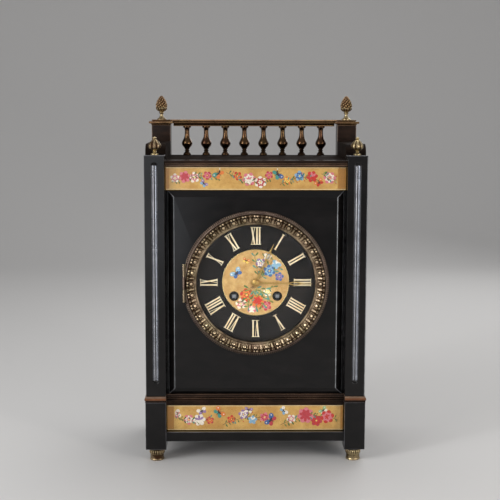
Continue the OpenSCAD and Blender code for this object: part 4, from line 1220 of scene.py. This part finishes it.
# %% [markdown]
# ## Painted enamel, made of dabs
# The tiles and the dial's centre carry painted flowers on a gold ground. A painter lays such a
# flower down in single dabs of thick enamel, each a little domed, and so does this script:
# a petal, a leaf or a wing is one small closed form with its own colour, and later dabs lie
# over earlier ones. Flat colour from a texture would lack the relief that glints when the
# clock is turned. The design is a plain one of blossoms, twigs and butterflies.

# %% Dabs of enamel
INK = {
    "pink": tone(214, 120, 128), "rose": tone(186, 58, 66), "white": tone(238, 226, 208),
    "red": tone(196, 48, 34), "orange": tone(222, 122, 52), "yellow": tone(240, 206, 96),
    "leaf": tone(64, 102, 48), "olive": tone(112, 122, 52), "sea": tone(70, 142, 128),
    "blue": tone(62, 96, 150), "sky": tone(134, 172, 196), "lilac": tone(150, 118, 160),
    # Two of these inks paint light at the tiles' borders: a gold for the posts' shadows, a cream
    # for highlights
    "post_shadow_gold": tone(184, 128, 52), "highlight_cream": tone(240, 212, 156), "bark": tone(92, 62, 36),
    "dark": tone(52, 36, 28), "mint": tone(150, 186, 132),
}
PETAL_CORNERS, SPOT_CORNERS = 12, 8


class Painting:
    """Collects dabs on a flat ground whose face stands at depth f."""

    def __init__(self, x, y, f, inside):
        self.place = lambda u, v, out: on_dial(x + u, y + v, f + out)
        self.inside = inside
        self.points, self.faces, self.colours = [], [], []
        self.level = 0

    def dab(self, outline, colour):
        if not all(self.inside(u, v) for u, v in outline):
            return
        base = 0.012 + 0.004 * (self.level % 60)
        self.level += 1
        n, start = len(outline), len(self.points)
        mid_u = sum(u for u, v in outline) / n
        mid_v = sum(v for u, v in outline) / n
        self.points += [self.place(u, v, base) for u, v in outline]
        self.points += [self.place(mid_u, mid_v, base + 0.03), self.place(mid_u, mid_v, -0.1)]
        for k in range(n):
            a, b = start + k, start + (k + 1) % n
            self.faces += [(a, b, start + n), (b, a, start + n + 1)]
        self.colours += [INK[colour]] * (n + 2)

    def block(self, u, v, wide, high, colour):
        self.dab([(u, v), (u + wide, v), (u + wide, v + high), (u, v + high)], colour)

    def petal(self, u, v, length, width, turn, colour, blunt=0.62):
        line = []
        for k in range(PETAL_CORNERS):
            t = 2 * pi * k / PETAL_CORNERS
            along = 0.5 * length * (1 - cos(t))
            across = 0.5 * width * sin(t) * (along / length) ** (blunt - 0.35)
            line.append((u + along * cos(turn) - across * sin(turn),
                         v + along * sin(turn) + across * cos(turn)))
        self.dab(line, colour)

    def spot(self, u, v, radius, colour):
        turns = [2 * pi * k / SPOT_CORNERS for k in range(SPOT_CORNERS)]
        self.dab([(u + radius * cos(t), v + radius * sin(t)) for t in turns], colour)

    def line(self, path, width, colour):
        for (u, v), (s, t) in zip(path, path[1:]):
            long = sqrt((s - u) ** 2 + (t - v) ** 2) or 1
            x, y = -(t - v) / long * width / 2, (s - u) / long * width / 2
            self.dab([(u + x, v + y), (u - x, v - y), (s - x, t - y), (s + x, t + y)], colour)

    def leaf(self, u, v, length, turn, colour, vein):
        self.petal(u, v, length, length * 0.42, turn, colour, 1.0)
        self.petal(u, v, length * 0.92, length * 0.12, turn, vein, 1.0)

    def blossom(self, u, v, size, count, outer, inner, turn=0.3):
        for reach, width, shift, colour in ((1.0, 0.8, 0, outer), (0.78, 0.42, 0.5, inner),
                                            (0.6, 0.3, 0, inner), (0.42, 0.26, 0.5, outer)):
            for k in range(count):
                self.petal(u, v, size * reach, size * width,
                           turn + 2 * pi * (k + shift) / count, colour)
        self.spot(u, v, size * 0.16, "yellow")

    def butterfly(self, u, v, size, turn, fore, hind):
        for side in (-1, 1):
            wing, feeler = turn + side * 0.95, turn + side * 0.3
            self.petal(u, v, size, size * 0.72, wing, fore)
            self.petal(u, v, size * 0.72, size * 0.6, turn + side * 1.95, hind)
            self.petal(u, v, size * 0.55, size * 0.26, wing, "dark")
            self.spot(u + size * 0.72 * cos(wing), v + size * 0.72 * sin(wing), size * 0.1,
                      "white")
            self.line([(u, v), (u + size * 0.7 * cos(feeler), v + size * 0.7 * sin(feeler))],
                      0.16, "dark")
        self.petal(u - size * 0.45 * cos(turn), v - size * 0.45 * sin(turn), size * 0.8,
                   size * 0.15, turn, "dark", 0.9)

    def finished(self, name):
        piece = make_piece(name, self.points, self.faces, enamel, 80, merge=0)
        colour = piece.data.attributes.new("paint", "FLOAT_COLOR", "POINT")
        colour.data.foreach_set("color", [c for rgba in self.colours for c in rgba])
        print(f"{name}: {len(self.faces)} faces in {self.level} dabs")
        return fit(piece, "case", "tile_glaze")

# %% A twig in bloom
KNOTS = 16


def spray(painting, start, bend, length, rng, blooms):
    """A twig that runs from its start with a soft wave, with leaves and blossoms on it."""
    u0, v0 = start
    path = [(u0 + length * k / KNOTS, v0 + bend * sin(2.6 * k / KNOTS) + 0.5 * sin(k))
            for k in range(KNOTS + 1)]
    painting.line(path, 0.42, "bark")
    for u, v in path[1:-1]:
        for side in (-1, 1):
            turn = side * rng.uniform(0.6, 1.25)
            reach = rng.uniform(3.0, 5.2)
            colour, vein = rng.choice([("leaf", "mint"), ("olive", "mint"), ("sea", "mint"),
                                       ("leaf", "olive")])
            if rng.random() < 0.72:
                painting.leaf(u, v, reach, turn, colour, vein)
            elif rng.random() < 0.6:
                s, t = u + reach * cos(turn), v + reach * sin(turn)
                painting.line([(u, v), (s, t)], 0.2, "bark")
                painting.spot(s, t, 0.55, rng.choice(["red", "orange", "rose"]))
    for share, lift, size, petals, outer, inner in blooms:
        u, v = path[round(share * KNOTS)]
        painting.blossom(u, v + lift, size * 1.35, petals, outer, inner, rng.uniform(0, 1))


print("a twig has", KNOTS, "knots")

# %% The ground of a tile, with painted post shadows and highlight lines at its border
INSET, HIGHLIGHT_W = 0.6, 0.7
SHADOW_BLOCKS, HIGHLIGHT_BLOCKS = 6, 30


def border(painting, half, high_v, left, right):
    """Painted post shadows in darker gold at both ends, painted highlight lines along the long
    edges.
    """
    tall, long = 2 * high_v - 2 * INSET, 2 * half - 2 * INSET
    for end, width in ((-half + INSET, left), (half - INSET - right, right)):
        for k in range(SHADOW_BLOCKS):
            painting.block(end, -high_v + INSET + tall * k / SHADOW_BLOCKS, width,
                           tall / SHADOW_BLOCKS, "post_shadow_gold")
    for v in (-high_v + INSET, high_v - INSET - HIGHLIGHT_W):
        for k in range(HIGHLIGHT_BLOCKS):
            painting.block(-half + INSET + long * k / HIGHLIGHT_BLOCKS, v, long / HIGHLIGHT_BLOCKS,
                           HIGHLIGHT_W, "highlight_cream")
    free = painting.inside
    painting.inside = lambda u, v: free(u, v) and left + 1.4 - half < u < half - right - 1.4


def bare_tile(node, left, right):
    """A painting on the face of a tile, with its border and painted post shadows of two widths."""
    low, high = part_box(node)
    half, tall = high.x / MM, (high.z - low.z) / MM / 2
    painting = Painting(0, (low.z + high.z) / 2 / MM - DIAL_Z, -low.y / MM,
                        lambda u, v: abs(u) < half - 0.5 and -tall + 0.5 < v < tall - 0.5)
    border(painting, half, tall, left, right)
    return painting


print("blocks in a border:", 2 * (SHADOW_BLOCKS + HIGHLIGHT_BLOCKS))

# %% Paint the upper tile
# Painted shadows of the posts: 3.4 mm wide at the left end, 8.2 mm at the right
upper = bare_tile("upper_tile", 3.4, 8.2)
rng = random.Random(5)
spray(upper, (-88, -6), 9, 52, rng, [(0.1, 3, 3.6, 5, "white", "pink"),
                                     (0.3, 1.5, 4.6, 6, "pink", "rose"),
                                     (0.52, -2, 4.2, 5, "white", "pink"),
                                     (0.78, 1, 3.4, 5, "rose", "pink")])
upper.butterfly(-37, 4.5, 7.2, 2.4, "sea", "orange")
upper.butterfly(-53, -5.5, 5.0, 0.8, "lilac", "sky")
spray(upper, (-30, 6), -9, 46, rng, [(0.22, 2.5, 3.4, 5, "red", "orange"),
                                     (0.5, 1.5, 5.2, 6, "pink", "white"),
                                     (0.72, -1, 4.6, 6, "white", "rose"),
                                     (0.95, 3, 3.2, 5, "rose", "pink")])
upper.butterfly(21, 4.2, 7.4, 0.5, "blue", "sea")
spray(upper, (24, -6.5), 8, 40, rng, [(0.2, 1, 3.2, 5, "orange", "yellow"),
                                      (0.5, 1, 4.0, 5, "sky", "blue"),
                                      (0.82, 1.5, 4.4, 6, "red", "pink")])
upper.butterfly(64, -4.5, 5.6, 2.2, "orange", "red")
spray(upper, (66, 5), -6, 22, rng, [(0.4, 1, 4.8, 6, "pink", "white"),
                                    (0.85, 2, 3.6, 5, "white", "pink")])
upper.finished("upper_painting")

# %% Paint the lower tile
# Painted shadows of the posts: 6.6 mm wide at the left end, 2.4 mm at the right
lower = bare_tile("lower_tile", 6.6, 2.4)
rng = random.Random(11)
spray(lower, (-88, 4), -8, 44, rng, [(0.15, 2, 4.6, 5, "white", "pink"),
                                     (0.42, 1, 4.2, 5, "pink", "white"),
                                     (0.7, 2, 4.8, 6, "white", "lilac"),
                                     (0.95, -2, 3.2, 5, "rose", "orange")])
lower.butterfly(-55, 6.5, 6.0, 2.0, "white", "lilac")
lower.butterfly(-38, 5, 7.6, 0.7, "orange", "sea")
spray(lower, (-34, -8), 9, 50, rng, [(0.2, 2, 3.4, 5, "red", "orange"),
                                     (0.45, 3, 4.0, 5, "lilac", "white"),
                                     (0.62, -3, 3.6, 5, "sky", "white"),
                                     (0.9, 1, 4.0, 5, "pink", "rose")])
lower.butterfly(-7, 7.4, 5.2, 1.4, "lilac", "white")
lower.butterfly(17, -3, 8.0, 2.6, "blue", "rose")
lower.butterfly(29, 7, 5.6, 0.6, "white", "sky")
spray(lower, (26, -8), 10, 60, rng, [(0.18, 2, 3.6, 5, "white", "pink"),
                                     (0.42, 1, 6.4, 7, "pink", "rose"),
                                     (0.62, -5, 4.6, 6, "rose", "red"),
                                     (0.8, 0, 5.4, 6, "red", "pink")])
lower.butterfly(71, 7, 5.6, 2.3, "mint", "white")
lower.finished("lower_painting")

# %% Paint the centre of the dial
CENTRE_R, CENTRE_F, BOSS_R = 34.1, 58.75, 4.4
HOLE_U, HOLE_V, HOLE_CLEAR = 22, -14, 5.6
KNOT_GAP = 2.1


def on_centre(u, v):
    """True on the gilt centre, clear of the hands' boss and of the two winding holes."""
    from_hole = sqrt((abs(u) - HOLE_U) ** 2 + (v - HOLE_V) ** 2)
    return BOSS_R < sqrt(u * u + v * v) < CENTRE_R - 1.2 and from_hole > HOLE_CLEAR


def stalk(start, first_turn, curl, count, every, reach, spread, leaf_colours):
    """A stalk from the middle outwards with pairs of leaves."""
    path = [(start[0] + k * KNOT_GAP * cos(first_turn + curl * k),
             start[1] + k * KNOT_GAP * sin(first_turn + curl * k)) for k in range(count)]
    middle.line(path, 0.3, "bark")
    for u, v in path[2::every]:
        for side in (-1, 1):
            middle.leaf(u, v, rng.uniform(*reach), first_turn + side * rng.uniform(0.5, spread),
                        *rng.choice(leaf_colours))


middle = Painting(0, 0, CENTRE_F, on_centre)
rng = random.Random(23)
for stem in range(7):
    stalk((-3, -4), radians(-150 + stem * 20), 0.05, 12, 2, (4.2, 6.8), 1.1,
          [("leaf", "mint"), ("sea", "mint"), ("olive", "yellow")])
for stem in range(4):
    stalk((3, 4), radians(28 + stem * 24), 0.0, 13, 3, (3.4, 5.6), 1.0,
          [("sea", "mint"), ("leaf", "mint")])
for u, v, size, petals, outer, inner in (
        (-9, -13, 5.8, 6, "red", "orange"), (2, -19, 5.4, 6, "orange", "red"),
        (-15, -22, 4.6, 5, "white", "pink"), (11, -24, 4.4, 5, "rose", "pink"),
        (-4, -28, 3.8, 5, "pink", "white"), (12, -10, 3.6, 5, "white", "yellow"),
        (14, 12, 5.0, 6, "blue", "sky"), (21, 19, 4.2, 5, "sky", "white"),
        (5, 20, 4.2, 5, "lilac", "white"), (24, 6, 3.8, 5, "blue", "lilac"),
        (12, 27, 3.4, 5, "white", "sky")):
    middle.blossom(u, v, size * 1.25, petals, outer, inner, rng.uniform(0, 1))
middle.butterfly(-19, 9, 7.4, 2.3, "sky", "blue")
middle.butterfly(-10, 22, 4.4, 1.2, "orange", "yellow")
middle.finished("centre_painting")

# %% [markdown]
# ## Camera, floor and light
# The camera stands a little above the dial and far off, as the photograph's does, so that the
# posts stay nearly parallel. The clock stands on a plain pale floor that rises behind it in one
# smooth sweep, so that no corner shows. Eight soft lamps and an even sky light it. Polished
# black stone shows mostly what it mirrors, so most lamps are large or long: their edges draw
# the soft highlights on the posts and along the cut edges. Two of them stand almost in front
# and are there for the flutes, whose walls mirror them.

# %% Camera
LOOK_DOWN, LEAN, SWING = 7.478, -0.14, -0.879
eye = in_scene("camera", bpy.data.cameras.new("camera"))
eye.location = (-0.0232, -1.1662, 0.3647)
eye.rotation_euler = (radians(90 - LOOK_DOWN), radians(LEAN), radians(SWING))
eye.data.lens = 79.3
eye.data.sensor_width = 36
eye.data.clip_start = 0.05
scene.camera = eye
print("camera at", tuple(round(v, 3) for v in eye.location), "lens", eye.data.lens)

# %% Floor
FLOOR_HALF = 4
BEND_START, BEND_R = 1.3, 0.9
bend = [(BEND_START + BEND_R * sin(a), BEND_R - BEND_R * cos(a))
        for a in [radians(5 * k) for k in range(1, 19)]]
sweep = [(-FLOOR_HALF, 0), (BEND_START, 0), *bend, (BEND_START + BEND_R, FLOOR_HALF)]
floor_mesh = bpy.data.meshes.new("floor")
floor_mesh.from_pydata([(x, y, z) for y, z in sweep for x in (-FLOOR_HALF, FLOOR_HALF)], [],
                       [(2 * k, 2 * k + 1, 2 * k + 3, 2 * k + 2) for k in range(len(sweep) - 1)])
floor_mesh.shade_smooth()
floor = in_scene("floor", floor_mesh)
pale = bpy.data.materials.new("pale floor")
pale.use_nodes = True
preset(pale.node_tree.nodes["Principled BSDF"],
       {"Base Color": (0.62, 0.61, 0.6, 1), "Roughness": 0.75})
floor_mesh.materials.append(pale)
print("floor:", len(floor_mesh.polygons), "faces")

# %% Sky and lamps
SKY, SEEN_MORE = 0.34, 0.1
world = bpy.data.worlds.new("studio")
scene.world = world
world.use_nodes = True
tree = world.node_tree
rays = add(tree, "ShaderNodeLightPath").outputs
seen = math_node(tree, "MAXIMUM", rays["Is Camera Ray"],
                 math_node(tree, "MAXIMUM", rays["Is Glossy Ray"], rays["Is Transmission Ray"]))
back = tree.nodes["Background"]
back.inputs["Color"].default_value = (0.97, 0.98, 1.0, 1)
tree.links.new(math_node(tree, "MULTIPLY_ADD", seen, SEEN_MORE, SKY),
               back.inputs["Strength"])


def lamp(name, place, target, width, height, watts, colour=(1, 1, 1)):
    light = bpy.data.lights.new(name, "AREA")
    light.shape = "RECTANGLE"
    light.size, light.size_y = width, height
    light.energy = watts
    light.color = colour
    holder = in_scene(name, light)
    holder.location = place
    aim = Vector(target) - Vector(place)
    holder.rotation_euler = aim.to_track_quat("-Z", "Y").to_euler()


lamp("key", (-0.95, -0.85, 0.85), (0, 0, 0.2), 0.7, 0.9, 6.0, (1.0, 0.98, 0.95))
lamp("fill", (1.1, -0.9, 0.5), (0, 0, 0.2), 0.6, 0.8, 2.7, (1.0, 0.96, 0.92))
lamp("top", (0.1, 0.25, 1.25), (0, 0, 0.3), 0.9, 0.6, 4.5)
lamp("rear", (0.6, 1.1, 0.8), (0, 0, 0.2), 0.8, 0.6, 4.0)
lamp("left strip", (-0.9, -0.75, 0.42), (0, 0, 0.2), 0.12, 0.8, 4.0, (0.93, 0.96, 1.0))
lamp("right strip", (0.8, -0.95, 0.42), (0, 0, 0.2), 0.1, 0.8, 3.0, (1.0, 0.95, 0.9))
lamp("left window", (-0.31, -1.3, 0.3), (-0.31, 0, 0.3), 0.38, 0.6, 1.0, (0.88, 0.93, 1.0))
lamp("right window", (0.47, -1.25, 0.3), (0.09, 0, 0.2), 0.3, 0.6, 0.8, (0.96, 0.97, 1.0))
scene.view_settings.view_transform = "Standard"
